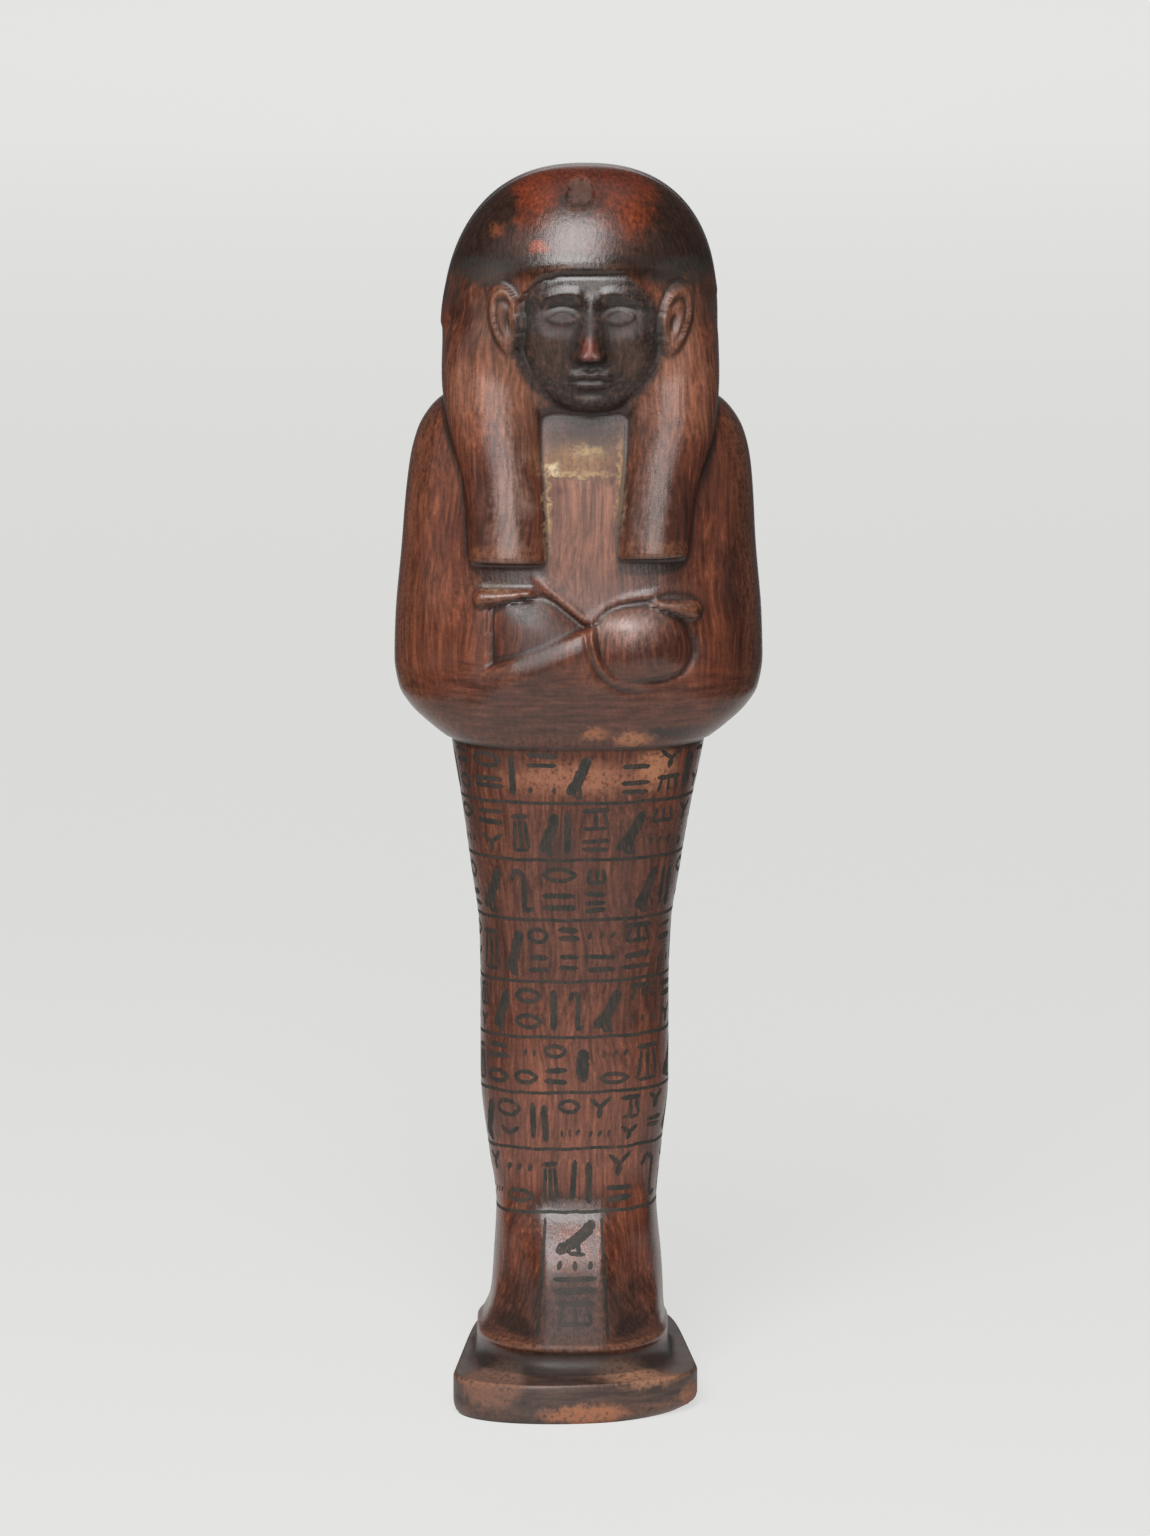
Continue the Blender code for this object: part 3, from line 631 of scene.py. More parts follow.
def carveFigure():
    bm = bmesh.new()
    rows = figure["lowRows"] + figure["ledgeRows"] + figure["bodyRows"] + figure["domeRows"]
    bmesh.ops.create_grid(bm, x_segments=figure["columns"], y_segments=rows, size=0.5)
    flat = np.array([vert.co[:2] for vert in bm.verts]) + 0.5
    places = np.stack(toMetres(*pointsOnCarving(flat[:, 0], flat[:, 1])), axis=1)
    places = np.clip(places, lowCorner, highCorner)  # keeps the arms and the plinth inside the CAD box
    hollow = bm.verts.layers.float.new("hollow")
    for vert, place, depth in zip(bm.verts, places, hollows(places, flat, rows)):
        vert.co = place
        vert[hollow] = depth
    bmesh.ops.remove_doubles(bm, verts=bm.verts[:], dist=1e-6)
    bmesh.ops.contextual_create(bm, geom=[edge for edge in bm.edges if edge.is_boundary])
    piece = toObject(bm, "carvedShabti", smooth=True)
    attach(piece, "root")
    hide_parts("shabti")
    return piece


carvedShabti = carveFigure()
print("figure carved", len(carvedShabti.data.polygons), "faces")

# the written rows: painted strokes that lie on the wood as a thin film of ink. They are marks, not letters

writing = {
    "lines": (124.1, 113.4, 102.6, 91.1, 79.4, 68.8, 58.3, 47.5, 35.5),
    "lineWidth": 0.62,
    "strokeWidth": 1.08,
    "climb": 0.035,  # how steeply the lowest rows rise to one side
    "levelAt": 140,  # the height where they would be level
    "missing": (0.35, 0.04),  # share of the marks that is lost from the first row and from the others
    "bareBack": 26,  # the strip down the back that is left without writing
    "linePieces": 6,
    "film": 0.05,
    "sunk": 0.03,
    "outside": 0.06,  # metres from the axis, where rays that look for the wood begin
    "seed": 23,
}


# the strokes of one mark: paths in shares of its cell, and widths in stroke widths
def cellMarks(kind, rng):
    sway = lambda: rng.uniform(-0.06, 0.06)
    if kind == "bars":
        count = rng.choice((2, 2, 3))
        return [([(0.02 + sway(), y + sway()), (0.98 + sway(), y + sway())], rng.uniform(0.7, 1.1))
                for y in [(i + 0.5) / count for i in range(count)]]
    if kind == "upright":
        marks = [([(0.5 + sway(), 1), (0.5 + sway(), 0.02)], 1.2)]
        if rng.random() < 0.6:
            marks.append(([(0.2, 0.02), (0.8, 0.04)], 0.8))
        return marks
    if kind == "pair":
        return [([(0.25 + sway(), 0.95), (0.2 + sway(), 0.1)], 1), ([(0.7 + sway(), 0.9), (0.75, 0.02)], 1.2)]
    if kind == "lens":
        return [([(0, 0.5), (0.25, 0.78), (0.6, 0.8), (1, 0.5)], 0.75),
                ([(0, 0.5), (0.3, 0.24), (0.65, 0.2), (1, 0.5)], 0.75)]
    if kind == "slant":
        return [([(0.95, 0.95), (0.72, 0.62), (0.45, 0.32), (0.05, 0.08)], 1.9),
                ([(0.55, 0.35), (0.6, 0.02)], 0.8), ([(0.35, 0.24), (0.36, 0.02), (0.75, 0.0)], 0.7)]
    if kind == "cup":
        return [([(0.05, 0.85), (0.95, 0.88)], 0.9), ([(0.25, 0.8), (0.12, 0.1)], 0.7),
                ([(0.5, 0.8), (0.52, 0.1)], 0.7), ([(0.75, 0.8), (0.9, 0.12)], 0.7),
                ([(0.1, 0.08), (0.9, 0.1)], 0.7)]
    if kind == "hook":
        return [([(0.1, 0.7), (0.3, 0.95), (0.6, 0.85), (0.62, 0.5), (0.55, 0.04)], 0.9),
                ([(0.5, 0.05), (0.95, 0.12)], 0.8)]
    if kind == "dots":
        return [([(x, 0.5 + sway()), (x + 0.12, 0.45)], 1.3) for x in (0.08, 0.44, 0.8)]
    if kind == "fork":
        return [([(0.1, 0.9), (0.5, 0.5), (0.9, 0.95)], 0.8), ([(0.5, 0.52), (0.45, 0.02)], 1)]
    return [([(0.5, 0.9), (0.45, 0.5), (0.5, 0.1)], 2.2)]


# the marks of one row: cells side by side, some of them with two marks one above the other
def rowOfMarks(start, end, rng):
    tall = ("upright", "slant", "pair", "hook", "cup", "slant", "leaf")
    short = ("bars", "lens", "dots", "bars", "fork", "cup")
    marks = []
    at, last = start, ""
    while at < end - 3:
        width = rng.uniform(3.6, 6.6)
        if rng.random() < 0.45:
            kind = rng.choice([name for name in tall if name != last])
            wide = width * (0.45 if kind in ("upright", "leaf") else 0.85)
            marks += [(at, wide, 0.10, 0.86, mark) for mark in cellMarks(kind, rng)]
            width = wide
        else:
            kind = rng.choice([name for name in short if name != last])
            split = rng.uniform(0.42, 0.58)
            marks += [(at, width, split + 0.04, 0.92, mark) for mark in cellMarks(kind, rng)]
            marks += [(at, width, 0.10, split - 0.06, mark) for mark in cellMarks(rng.choice(short), rng)]
        at += width + rng.uniform(0.9, 1.8)
        last = kind
    return marks


# the figure's surface round one row: how far along it each direction lies, counted from the front
class RowRound:
    def __init__(self, tree, height):
        turns = np.linspace(-math.pi, math.pi, 361)
        points = [self.strike(tree, turn, height) for turn in turns]
        steps = [(b - a).length for a, b in zip(points, points[1:])]
        length = np.concatenate([[0], np.cumsum(steps)]) / part
        self.tree, self.turns, self.length = tree, turns, length - length[len(turns) // 2]

    def strike(self, tree, turn, height):
        way = Vector((math.sin(turn), -math.cos(turn), 0))
        axis = Vector((0, figure["axisBehindMiddle"] * part, height * part))
        return tree.ray_cast(axis + way * writing["outside"], -way)[0]

    def place(self, along, height):
        return self.strike(self.tree, float(np.interp(along, self.length, self.turns)), height)


# a strip of ink along a path, with a swelling middle and rounded, slightly uneven edges
def inkStroke(bm, path, width, place, rng):
    points = [Vector(point) for point in path]
    spans = [(b - a).length for a, b in zip(points, points[1:])]
    total = sum(spans)
    steps = int(min(40, max(5, total / 0.55)))
    drift = rng.uniform(0, 100)
    strip = bmesh.ops.create_grid(bm, x_segments=steps, y_segments=2, size=0.5)["verts"]
    for vert in strip:
        share, side = vert.co.x + 0.5, vert.co.y * 2
        reach = share * total
        i = 0
        while i < len(spans) - 1 and reach > spans[i]:
            reach -= spans[i]
            i += 1
        way = (points[i + 1] - points[i]).normalized()
        here = points[i] + way * reach
        uneven = 1 + 0.35 * noise.noise((here.x * 1.3 + drift, here.y * 1.3, side * 3))
        end = math.sqrt(max(0.04, 1 - abs(2 * share - 1) ** (2 + total / width)))
        half = 0.5 * width * end * uneven
        here = here + Vector((-way.y, way.x)) * side * half
        vert.co = place(here.x, here.y)


# half the written girth at one height, and a way to place points along a row that climbs to one side
def roundRow(tree, height, base):
    around = RowRound(tree, height)
    climb = writing["climb"] * (1 - base / writing["levelAt"])
    place = lambda along, level: around.place(along, level + climb * along)
    return around.length[-1] - writing["bareBack"] / 2, place


def inkRow(bm, tree, low, high, rng, missing):
    half, place = roundRow(tree, (low + high) / 2, low)
    for at, wide, bottom, top, (path, width) in rowOfMarks(1 - half, half - 1, rng):
        if rng.random() < missing:
            continue
        cell = [(at + x * wide, low + (high - low) * (bottom + (top - bottom) * y)) for x, y in path]
        inkStroke(bm, cell, width * writing["strokeWidth"], place, rng)


# a line in pieces that overlap a little
def inkLine(bm, tree, height, rng):
    half, place = roundRow(tree, height, height)
    span = 2 * half / writing["linePieces"]
    for i in range(writing["linePieces"]):
        start = span * i - half - 0.3
        path = [(start + span * j / 3.7, height + rng.uniform(-0.15, 0.15)) for j in range(5)]
        inkStroke(bm, path, writing["lineWidth"], place, rng)


# the short column on the insteps, between two upright lines
def inkColumn(bm, tree, rng):
    ahead = -writing["outside"]
    place = lambda x, z: tree.ray_cast(Vector((x * part, ahead, z * part)), Vector((0, 1, 0)))[0]
    inkStroke(bm, [(-6.1, 34.5), (-6.6, 27), (-7.2, 20), (-7.6, 14.6)], 0.6, place, rng)
    inkStroke(bm, [(4.3, 34.6), (4.8, 27), (5.2, 20), (5.5, 14.6)], 0.6, place, rng)
    cells = (("slant", 28.4, 34.2), ("dots", 25.6, 27.6), ("bars", 21.6, 25.2), ("cup", 16.6, 21.0))
    for kind, bottom, top in cells:
        for path, width in cellMarks(kind, rng):
            cell = [(-4.6 + 8.0 * x, bottom + (top - bottom) * y) for x, y in path]
            inkStroke(bm, cell, width * writing["strokeWidth"], place, rng)


def writeRows(carved):
    rng = random.Random(writing["seed"])
    solid = bmesh.new()
    solid.from_mesh(carved.data)
    tree = BVHTree.FromBMesh(solid)
    solid.free()
    bm = bmesh.new()
    lines = writing["lines"]
    for i, (high, low) in enumerate(zip(lines, lines[1:])):
        inkRow(bm, tree, low, high, rng, writing["missing"][min(i, 1)])
    for height in lines[1:]:
        inkLine(bm, tree, height, rng)
    inkColumn(bm, tree, rng)
    # every strip faces out of the wood before it gets its thickness
    bm.normal_update()
    inward = []
    for face in bm.faces:
        middle = face.calc_center_median()
        outside = Vector((middle.x, middle.y - figure["axisBehindMiddle"] * part, 0))
        if face.normal.dot(outside) < 0:
            inward.append(face)
    bmesh.ops.reverse_faces(bm, faces=inward)
    bm.normal_update()
    for vert in bm.verts:
        vert.co += vert.normal * (writing["film"] - writing["sunk"]) * part
    bmesh.ops.solidify(bm, geom=bm.faces[:], thickness=writing["film"] * part)
    piece = toObject(bm, "inkWriting", smooth=False)
    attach(piece, "root")
    return piece


inkWriting = writeRows(carvedShabti)
print("rows written", len(inkWriting.data.polygons), "faces")

# finishes


def maths(tree, operation, a, b, clamp=False):
    return addNode(tree, "ShaderNodeMath", {0: a, 1: b}, operation=operation, use_clamp=clamp).outputs[0]


def add(tree, a, b):
    return maths(tree, "ADD", a, b)


def times(tree, a, b):
    return maths(tree, "MULTIPLY", a, b)


def vectorMaths(tree, operation, a, b):
    return addNode(tree, "ShaderNodeVectorMath", {0: a, 1: b}, operation=operation).outputs[0]


def scaled(tree, vector, factor):
    return addNode(tree, "ShaderNodeVectorMath", {0: vector, "Scale": factor}, operation="SCALE").outputs[0]


def mixNumbers(tree, share, a, b):
    return addNode(tree, "ShaderNodeMix", {0: share, 2: a, 3: b}).outputs[0]


def mixColours(tree, share, a, b, blend="MIX"):
    made = addNode(tree, "ShaderNodeMix", {0: share, 6: a, 7: b}, data_type="RGBA", blend_type=blend)
    return made.outputs[2]


def ramp(tree, value, low, high, bottom=0.0, top=1.0):
    inputs = {"Value": value, "From Min": low, "From Max": high, "To Min": bottom, "To Max": top}
    return addNode(tree, "ShaderNodeMapRange", inputs, interpolation_type="SMOOTHSTEP").outputs["Result"]


def clouds(tree, place, scale, detail, rough=0.5, twist=0.0):
    inputs = {"Vector": place, "Scale": scale, "Detail": detail, "Roughness": rough, "Distortion": twist}
    return addNode(tree, "ShaderNodeTexNoise", inputs).outputs


def newGroup(name, inputs, outputs):
    tree = bpy.data.node_groups.new(name, "ShaderNodeTree")
    for label, value in inputs.items():
        kind = "NodeSocketVector" if isinstance(value, tuple) else "NodeSocketFloat"
        tree.interface.new_socket(label, in_out="INPUT", socket_type=kind).default_value = value
    for label, kind in outputs.items():
        tree.interface.new_socket(label, in_out="OUTPUT", socket_type=kind)
    return tree, tree.nodes.new("NodeGroupInput").outputs, tree.nodes.new("NodeGroupOutput").inputs


def useGroup(tree, group, **inputs):
    return addNode(tree, "ShaderNodeGroup", inputs, node_tree=group).outputs


# a soft patch round a place, in millimetres
def makePatchGroup():
    inputs = {"Place": (0, 0, 0), "Centre": (0, 0, 0), "Size": (1, 1, 1), "Edge": 0.2, "Strength": 1.0}
    tree, given, made = newGroup("patch", inputs, {"Mask": "NodeSocketFloat"})
    offset = vectorMaths(tree, "SUBTRACT", given["Place"], given["Centre"])
    share = vectorMaths(tree, "DIVIDE", offset, given["Size"])
    reach = addNode(tree, "ShaderNodeVectorMath", {0: share}, operation="LENGTH").outputs["Value"]
    outer = add(tree, 1.0, given["Edge"])
    inner = maths(tree, "SUBTRACT", 1.0, given["Edge"])
    tree.links.new(times(tree, ramp(tree, reach, outer, inner), given["Strength"]), made["Mask"])
    return tree


# brush marks and wood fibre, drawn out in one direction
def makeFibreGroup():
    inputs = {"Place": (0, 0, 0), "Stretch": (1, 1, 0.06), "Fineness": 1.6}
    tree, given, made = newGroup("fibre", inputs, {"Fine": "NodeSocketFloat", "Broad": "NodeSocketFloat"})
    drawn = vectorMaths(tree, "MULTIPLY", given["Place"], given["Stretch"])
    tree.links.new(clouds(tree, drawn, given["Fineness"], 4.0, 0.65)["Fac"], made["Fine"])
    coarse = times(tree, given["Fineness"], 0.22)
    tree.links.new(clouds(tree, drawn, coarse, 3.0, twist=0.6)["Fac"], made["Broad"])
    return tree


# the place in millimetres as it is, then wandering softly and raggedly for the edges of stains
def makePlaceGroup():
    vector = "NodeSocketVector"
    outputs = {"Place": vector, "Soft Place": vector, "Ragged Place": vector}
    inputs = {"Object": (0, 0, 0), "Soft": 5.0, "Ragged": 2.4}
    tree, given, made = newGroup("wanderingPlace", inputs, outputs)
    place = scaled(tree, given["Object"], 1000.0)
    tree.links.new(place, made["Place"])
    for label, scale, detail in (("Soft", 0.14, 3.0), ("Ragged", 0.55, 6.0)):
        cloud = clouds(tree, place, scale, detail, 0.7)["Color"]
        level = vectorMaths(tree, "SUBTRACT", cloud, (0.5, 0.5, 0.5))
        shift = scaled(tree, level, times(tree, given[label], 2.0))
        tree.links.new(vectorMaths(tree, "ADD", place, shift), made[label + " Place"])
    return tree


patchGroup, fibreGroup, placeGroup = makePatchGroup(), makeFibreGroup(), makePlaceGroup()

wood = {
    "dark": (0.070, 0.019, 0.010, 1),
    "light": (0.200, 0.056, 0.026, 1),
    "grimeAndShade": (0.014, 0.010, 0.008, 1),
    "bare": (0.36, 0.145, 0.070, 1),
    "rough": 0.27,
    "gloss": 0.55,
    "grain": 0.00015,  # height of the brush marks, in metres
}

# soft changes of tone over whole areas: centre and half size in millimetres, edge, strength, colour
tones = (
    ("crown", (1, 4, 232), (150, 150, 21.5), 0.09, 0.95, (0.024, 0.011, 0.007)),
    ("nape", (0, 34, 205), (40, 26, 26), 0.4, 0.7, (0.035, 0.015, 0.009)),
    ("crownFront", (0, -16, 217.5), (12, 8, 5), 0.5, 0.7, (0.11, 0.046, 0.032)),
    ("redLeft", (-7.4, -9, 223.6), (3, 9, 5.2), 0.7, 0.9, (0.21, 0.036, 0.009)),
    ("redRight", (8.6, -9, 222.5), (4.4, 9, 5), 0.7, 0.85, (0.22, 0.04, 0.011)),
    ("redTop", (0.5, -4, 227.5), (12, 10, 3.5), 0.6, 0.6, (0.17, 0.028, 0.01)),
    # lighter hair on the upper wig and tresses, part of its brightness a painted highlight
    ("hairUpperAndHighlight", (1, -14, 190), (24, 14, 10), 0.5, 0.6, (0.37, 0.155, 0.092)),
    ("earLeft", (-14, -13, 202), (5, 9, 8), 0.5, 0.5, (0.215, 0.098, 0.058)),
    ("earRight", (17.5, -13, 202), (5, 9, 8), 0.5, 0.5, (0.215, 0.098, 0.058)),
    ("tressLeft", (-13, -19, 164), (8.5, 9, 18), 0.5, 0.6, (0.085, 0.026, 0.015)),
    ("tressRight", (14.5, -19, 164), (8.5, 9, 18), 0.5, 0.7, (0.07, 0.024, 0.015)),
    # painted highlights: pale streaks down the ridges of both tresses and over the top of the front fist
    ("paintedHighlightLeft", (-12.6, -20, 168), (2.8, 8, 15), 0.7, 0.5, (0.33, 0.2, 0.155)),
    ("paintedHighlightRight", (13.6, -20, 168), (2.6, 8, 15), 0.7, 0.4, (0.27, 0.175, 0.145)),
    ("paintedHighlightFist", (9.5, -24, 147.5), (7, 8, 3.6), 0.7, 0.5, (0.36, 0.21, 0.165)),
    # painted shade under the chin: the throat made darker
    ("throat", (1.8, -13, 186), (11, 6, 7), 0.5, 0.9, (0.06, 0.026, 0.018)),
    ("chest", (1.2, -16, 163), (7.4, 5, 13), 0.25, 0.75, (0.27, 0.115, 0.072)),
    ("chestLow", (1.5, -19, 153), (20, 6, 4.5), 0.5, 0.6, (0.15, 0.06, 0.04)),
    # painted light on the left arm and painted shade on the right arm, as though lit from the left
    ("armPaintedLight", (-27, -6, 158), (7, 14, 26), 0.5, 0.4, (0.235, 0.072, 0.036)),
    ("armShade", (33, -4, 156), (8, 20, 30), 0.5, 0.5, (0.04, 0.014, 0.009)),
    ("elbowShade", (0, -4, 127), (38, 20, 5.5), 0.5, 0.3, (0.045, 0.02, 0.014)),
    ("fistUnder", (-9, -21, 145), (8, 5, 8), 0.5, 0.6, (0.075, 0.034, 0.025)),
    ("fistLow", (12, -23, 139.5), (10, 5, 4), 0.5, 0.55, (0.085, 0.04, 0.029)),
    ("belly", (0, -17, 131), (28, 8, 7), 0.4, 0.65, (0.1, 0.045, 0.032)),
    ("legs", (0, -2, 95), (40, 30, 28), 0.4, 0.5, (0.115, 0.05, 0.035)),
    ("legsLow", (-1, -10, 54), (14, 10, 16), 0.5, 0.5, (0.215, 0.08, 0.05)),
    ("feet", (-1, -18, 15), (26, 14, 9), 0.4, 0.6, (0.07, 0.036, 0.027)),
    ("panelLow", (-1, -22, 19), (7.5, 9, 8), 0.6, 0.75, (0.045, 0.022, 0.017)),
    ("plinth", (0, 0, 3), (50, 60, 7.5), 0.2, 0.85, (0.055, 0.036, 0.029)),
)

# ragged stains, worn places and remains of white ground; also painted shade under the chin, and a dark band
# along the cap's edge that is stain and painted shade
stains = (
    # a dark grey band along the lower edge of the cap: stain, and painted shade under its overhang
    ("bandMiddle", (1.2, -18.6, 213.6), (15, 5, 1.5), 0.5, 0.75, (0.028, 0.02, 0.016)),
    ("bandLeft", (-16.5, -12, 211.5), (7, 8, 2.6), 0.35, 0.9, (0.03, 0.026, 0.022)),
    ("bandRight", (18.5, -12, 211.3), (7, 8, 2.8), 0.35, 0.9, (0.032, 0.027, 0.022)),
    ("bandSide", (-21.5, -3, 207), (4, 8, 5.5), 0.4, 0.85, (0.028, 0.022, 0.018)),
    ("bandOther", (23, -3, 207), (4, 8, 5.5), 0.4, 0.7, (0.03, 0.022, 0.018)),
    ("redSpot", (-7.3, -17.1, 216.3), (1.7, 3, 1.2), 0.5, 0.9, (0.26, 0.045, 0.016)),
    ("redSpotTwo", (-14.5, -11, 218.8), (1.3, 3, 1.4), 0.5, 0.7, (0.2, 0.05, 0.018)),
    # painted shade under the chin
    ("throatShade", (1.8, -14, 182), (9, 5, 3.4), 0.6, 0.8, (0.04, 0.019, 0.013)),
    ("chip", (0.4, -10.5, 225.6), (2.4, 8, 2.2), 0.15, 1, (0.078, 0.033, 0.019)),
    ("whiteNeck", (-0.6, -14.6, 177), (6.4, 4, 2.9), 0.8, 0.5, (0.34, 0.22, 0.115)),
    ("whiteFlake", (1.8, -14.4, 178.6), (2.4, 3, 0.9), 0.9, 0.8, (0.44, 0.31, 0.16)),
    ("whiteLower", (0, -15.2, 174.4), (5.5, 3, 0.5), 0.9, 0.8, (0.42, 0.29, 0.15)),
    ("darkLine", (1.2, -15.4, 173.7), (6.4, 3, 0.28), 0.5, 0.55, (0.06, 0.04, 0.03)),
    ("whiteCorner", (-4.6, -14, 175.4), (1.1, 3, 1.2), 0.6, 0.95, (0.6, 0.48, 0.3)),
    ("whiteLeft", (-5.6, -15.4, 167.5), (0.5, 3, 7), 0.9, 0.8, (0.44, 0.3, 0.15)),
    ("whiteRight", (7.9, -15.2, 173.5), (0.8, 3, 8.5), 0.5, 0.6, (0.42, 0.26, 0.13)),
    ("wornSleeve", (-15, -19.5, 154), (4.5, 4, 0.8), 0.5, 0.6, (0.4, 0.26, 0.12)),
    ("wornFist", (-6, -22.5, 149.5), (3.4, 3, 1.5), 0.4, 0.75, (0.34, 0.12, 0.055)),
    ("blackFist", (-10, -22, 149.6), (5.6, 6, 2.4), 0.5, 0.95, (0.02, 0.016, 0.014)),
    ("blackWrist", (2.2, -23, 143), (3, 4, 2.4), 0.5, 0.5, (0.03, 0.024, 0.022)),
    ("blackHem", (16, -13.5, 126.3), (5.2, 5, 1.5), 0.5, 0.9, (0.018, 0.015, 0.013)),
    ("wornHem", (3.2, -17, 126.6), (2.4, 4, 1.2), 0.5, 0.7, (0.36, 0.135, 0.06)),
    ("wornHemTwo", (10.5, -16, 125.4), (3.4, 4, 1.4), 0.5, 0.75, (0.4, 0.165, 0.08)),
    ("wornRow", (0, -16, 118), (14, 6, 2.6), 0.7, 0.7, (0.34, 0.13, 0.066)),
    ("wornRowRight", (15, -14, 119.5), (3.6, 6, 3.6), 0.6, 0.85, (0.4, 0.165, 0.08)),
    ("darkRowTop", (-15, -14, 121), (5, 6, 2.2), 0.6, 0.5, (0.05, 0.028, 0.02)),
    ("darkRow", (-4, -14, 104), (3.6, 5, 4.2), 0.5, 0.65, (0.035, 0.022, 0.018)),
    ("darkRowTwo", (15, -9, 105), (4.2, 6, 3.4), 0.5, 0.4, (0.045, 0.028, 0.022)),
    ("scuffLeft", (-16, -27, 7), (6, 8, 4.6), 0.25, 1, (0.17, 0.08, 0.052)),
    ("scuffMiddle", (2.2, -31.5, 1.6), (8.8, 4, 2), 0.35, 0.9, (0.31, 0.12, 0.06)),
    ("scuffTop", (14.5, -26.5, 8.8), (9.5, 5, 2.4), 0.5, 0.9, (0.34, 0.16, 0.085)),
    ("scuffRight", (21, -21, 3), (2.2, 5, 2.2), 0.4, 0.8, (0.3, 0.13, 0.075)),
)

# places with more or less polish: centre, half size, change of roughness
polish = (
    ((1.9, -19, 208), (10, 8, 3.5), -0.15),  # brow
    ((1.9, -19, 202.5), (11, 8, 2.6), 0.2),  # eyes
    ((1, -17, 212), (20, 8, 2.6), -0.1),  # band over the brow
    ((1.2, -16, 166), (9, 7, 26), 0.2),  # chest
    ((0, 0, 3), (50, 60, 9), 0.2),  # plinth
    ((-1, -21, 18), (8, 9, 9), 0.4),  # foot of the panel
    ((-9, -22, 145.5), (7, 8, 6), 0.2),  # left fist
    ((-17.3, -18, 143), (2.6, 8, 8), 0.2),  # recess round the fists
    ((14, -20, 149.5), (5, 7, 3.4), 0.2),
    ((21.5, -18, 140), (2.6, 8, 5), 0.2),
    ((-14.5, -13, 203), (5.5, 9, 9), 0.2),  # ears
    ((18, -13, 203), (5.5, 9, 9), 0.2),
)

face = {
    "centre": (1.9, -19, 198.6),
    "size": (14.2, 11, 14.4),
    "dark": (0.018, 0.011, 0.009, 1),
    "cheek": (0.070, 0.034, 0.023, 1),
    "noseTip": (0.235, 0.050, 0.026, 1),
    "cheeksAt": (-4.3, 8.7),
    "noseAt": (1.9, -24, 198.3),
    "duller": 0.16,
}


def patch(tree, place, centre, size, edge, strength):
    inputs = {"Place": place, "Centre": centre, "Size": size, "Edge": edge, "Strength": strength}
    return useGroup(tree, patchGroup, **inputs)["Mask"]


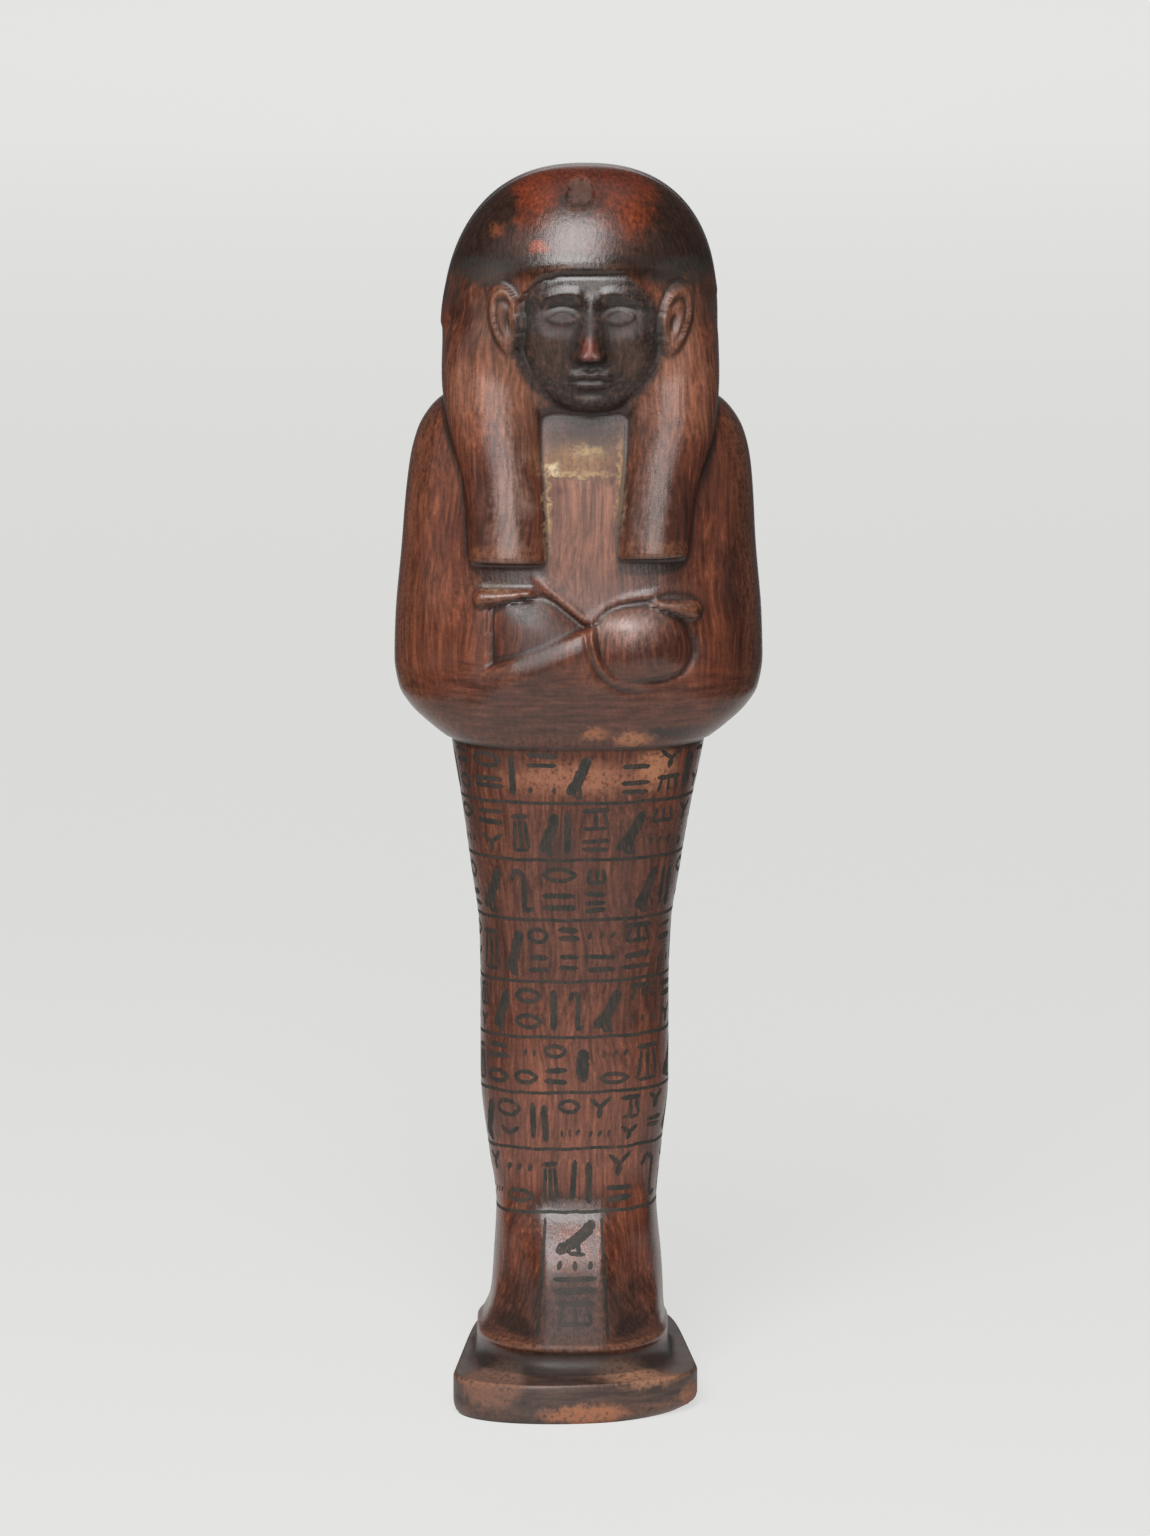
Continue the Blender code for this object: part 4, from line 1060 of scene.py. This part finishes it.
def oldVarnishedWood():
    material, tree, shader = newMaterial("oldVarnishedWood")
    where = addNode(tree, "ShaderNodeTexCoord").outputs["Object"]
    places = useGroup(tree, placeGroup, Object=where)
    plain, soft, ragged = (places[name] for name in ("Place", "Soft Place", "Ragged Place"))
    hollow = addNode(tree, "ShaderNodeAttribute", attribute_name="hollow").outputs["Fac"]

    # fibre runs up the figure, and across it below the arms and on the plinth
    sway = clouds(tree, plain, 0.05, 1.0)["Color"]
    bending = {0: sway, 1: (6.0, 6.0, 0.0), 2: plain}
    bent = addNode(tree, "ShaderNodeVectorMath", bending, operation="MULTIPLY_ADD").outputs[0]
    upright = useGroup(tree, fibreGroup, Place=bent, Stretch=(1, 1, 0.05), Fineness=1.5)
    level = useGroup(tree, fibreGroup, Place=plain, Stretch=(0.12, 0.12, 1), Fineness=1.3)
    waist = patch(tree, soft, (0, -14, 133), (32, 14, 8), 0.4, 0.8)
    waist = maths(tree, "MAXIMUM", waist, patch(tree, soft, (0, 0, 3), (50, 60, 10), 0.3, 0.8))
    fine, broad = (mixNumbers(tree, waist, upright[name], level[name]) for name in ("Fine", "Broad"))
    mottle = clouds(tree, plain, 0.09, 3.0)["Fac"]
    speck = clouds(tree, plain, 1.1, 5.0, 0.7)["Fac"]
    flecks = clouds(tree, plain, 0.8, 8.0, 0.8)["Fac"]

    tone = add(tree, times(tree, broad, 0.7), times(tree, mottle, 0.5))
    colour = mixColours(tree, ramp(tree, tone, 0.42, 0.80), wood["dark"], wood["light"])
    colour = mixColours(tree, ramp(tree, fine, 0.58, 0.74, 0.0, 0.35), colour, wood["bare"])
    colour = mixColours(tree, ramp(tree, flecks, 0.62, 0.70, 0.0, 0.6), colour, wood["grimeAndShade"])
    for _, centre, size, edge, strength, shade in tones:
        colour = mixColours(tree, patch(tree, soft, centre, size, edge, strength), colour, (*shade, 1))

    # the blackened face: cheeks and the tip of the nose show through
    onFace = patch(tree, plain, face["centre"], face["size"], 0.06, 1.0)
    blackened = mixColours(tree, ramp(tree, speck, 0.40, 0.66), face["dark"], face["cheek"])
    for x in face["cheeksAt"]:
        cheek = patch(tree, soft, (x, -19, 196.5), (4.6, 7, 5.0), 0.6, 0.7)
        blackened = mixColours(tree, cheek, blackened, face["cheek"])
    nose = patch(tree, plain, face["noseAt"], (1.9, 3.5, 2.4), 0.5, 0.9)
    blackened = mixColours(tree, nose, blackened, face["noseTip"])
    colour = mixColours(tree, onFace, colour, blackened)

    # fine streaks along the fibre over everything
    streak = times(tree, ramp(tree, fine, 0.30, 0.70, 0.42, 1.16), ramp(tree, speck, 0.30, 0.70, 0.86, 1.14))
    colour = mixColours(tree, 1.0, colour, streak, "MULTIPLY")

    broken = ramp(tree, speck, 0.36, 0.52, 0.25, 1.0)
    bareness = 0.0
    for name, centre, size, edge, strength, shade in stains:
        mask = times(tree, patch(tree, ragged, centre, size, edge, strength), broken)
        colour = mixColours(tree, mask, colour, (*shade, 1))
        if name.startswith(("white", "scuff", "chip", "worn")):
            bareness = maths(tree, "MAXIMUM", bareness, mask)

    # dirt and painted shade in the grooves, darker where the surface lies deeper under its smoothed copy, and
    # a rubbed arris
    colour = mixColours(tree, ramp(tree, hollow, 0.05, 0.20, 0.0, 0.65), colour, wood["grimeAndShade"])
    rubbed = times(tree, ramp(tree, hollow, -0.12, -0.35), ramp(tree, speck, 0.36, 0.60))
    rubbed = times(tree, rubbed, maths(tree, "SUBTRACT", 1.0, onFace))
    colour = mixColours(tree, times(tree, rubbed, 0.25), colour, wood["bare"])
    tree.links.new(colour, shader.inputs["Base Color"])

    rough = add(tree, wood["rough"], times(tree, onFace, face["duller"]))
    for centre, size, change in polish:
        rough = add(tree, rough, patch(tree, plain, centre, size, 0.35, change))
    rough = add(tree, rough, times(tree, maths(tree, "SUBTRACT", speck, 0.5), 0.25))
    rough = maths(tree, "ADD", rough, times(tree, bareness, 0.45), clamp=True)
    tree.links.new(rough, shader.inputs["Roughness"])
    shader.inputs["Specular IOR Level"].default_value = wood["gloss"]

    # brush marks stand up a little, and where the varnish is gone the surface lies lower and is pitted
    height = add(tree, times(tree, fine, 0.55), times(tree, speck, 0.45))
    pitted = times(tree, times(tree, flecks, bareness), 1.6)
    height = maths(tree, "SUBTRACT", add(tree, height, pitted), times(tree, bareness, 0.9))
    relief = {"Strength": 0.6, "Distance": wood["grain"], "Height": height}
    tree.links.new(addNode(tree, "ShaderNodeBump", relief).outputs["Normal"], shader.inputs["Normal"])
    return material


ink = {
    "black": (0.021, 0.022, 0.018, 1),
    "faded": (0.060, 0.042, 0.034, 1),
    "rough": 0.65,
    "gloss": 0.35,
}


def wornInk():
    material, tree, shader = newMaterial("wornInk")
    where = addNode(tree, "ShaderNodeTexCoord").outputs["Object"]
    plain = useGroup(tree, placeGroup, Object=where)["Place"]
    fibre = useGroup(tree, fibreGroup, Place=plain, Stretch=(1, 1, 0.15), Fineness=2.6)["Fine"]
    cloud = clouds(tree, plain, 0.3, 6.0, 0.7)["Fac"]
    wear = add(tree, times(tree, fibre, 0.5), times(tree, cloud, 0.5))
    colour = mixColours(tree, ramp(tree, wear, 0.42, 0.62), ink["black"], ink["faded"])
    tree.links.new(colour, shader.inputs["Base Color"])
    tree.links.new(ramp(tree, wear, 0.66, 0.54, 0.0, 0.92), shader.inputs["Alpha"])
    shader.inputs["Roughness"].default_value = ink["rough"]
    shader.inputs["Specular IOR Level"].default_value = ink["gloss"]
    return material


carvedShabti.data.materials.append(oldVarnishedWood())
inkWriting.data.materials.append(wornInk())
print("finishes made")
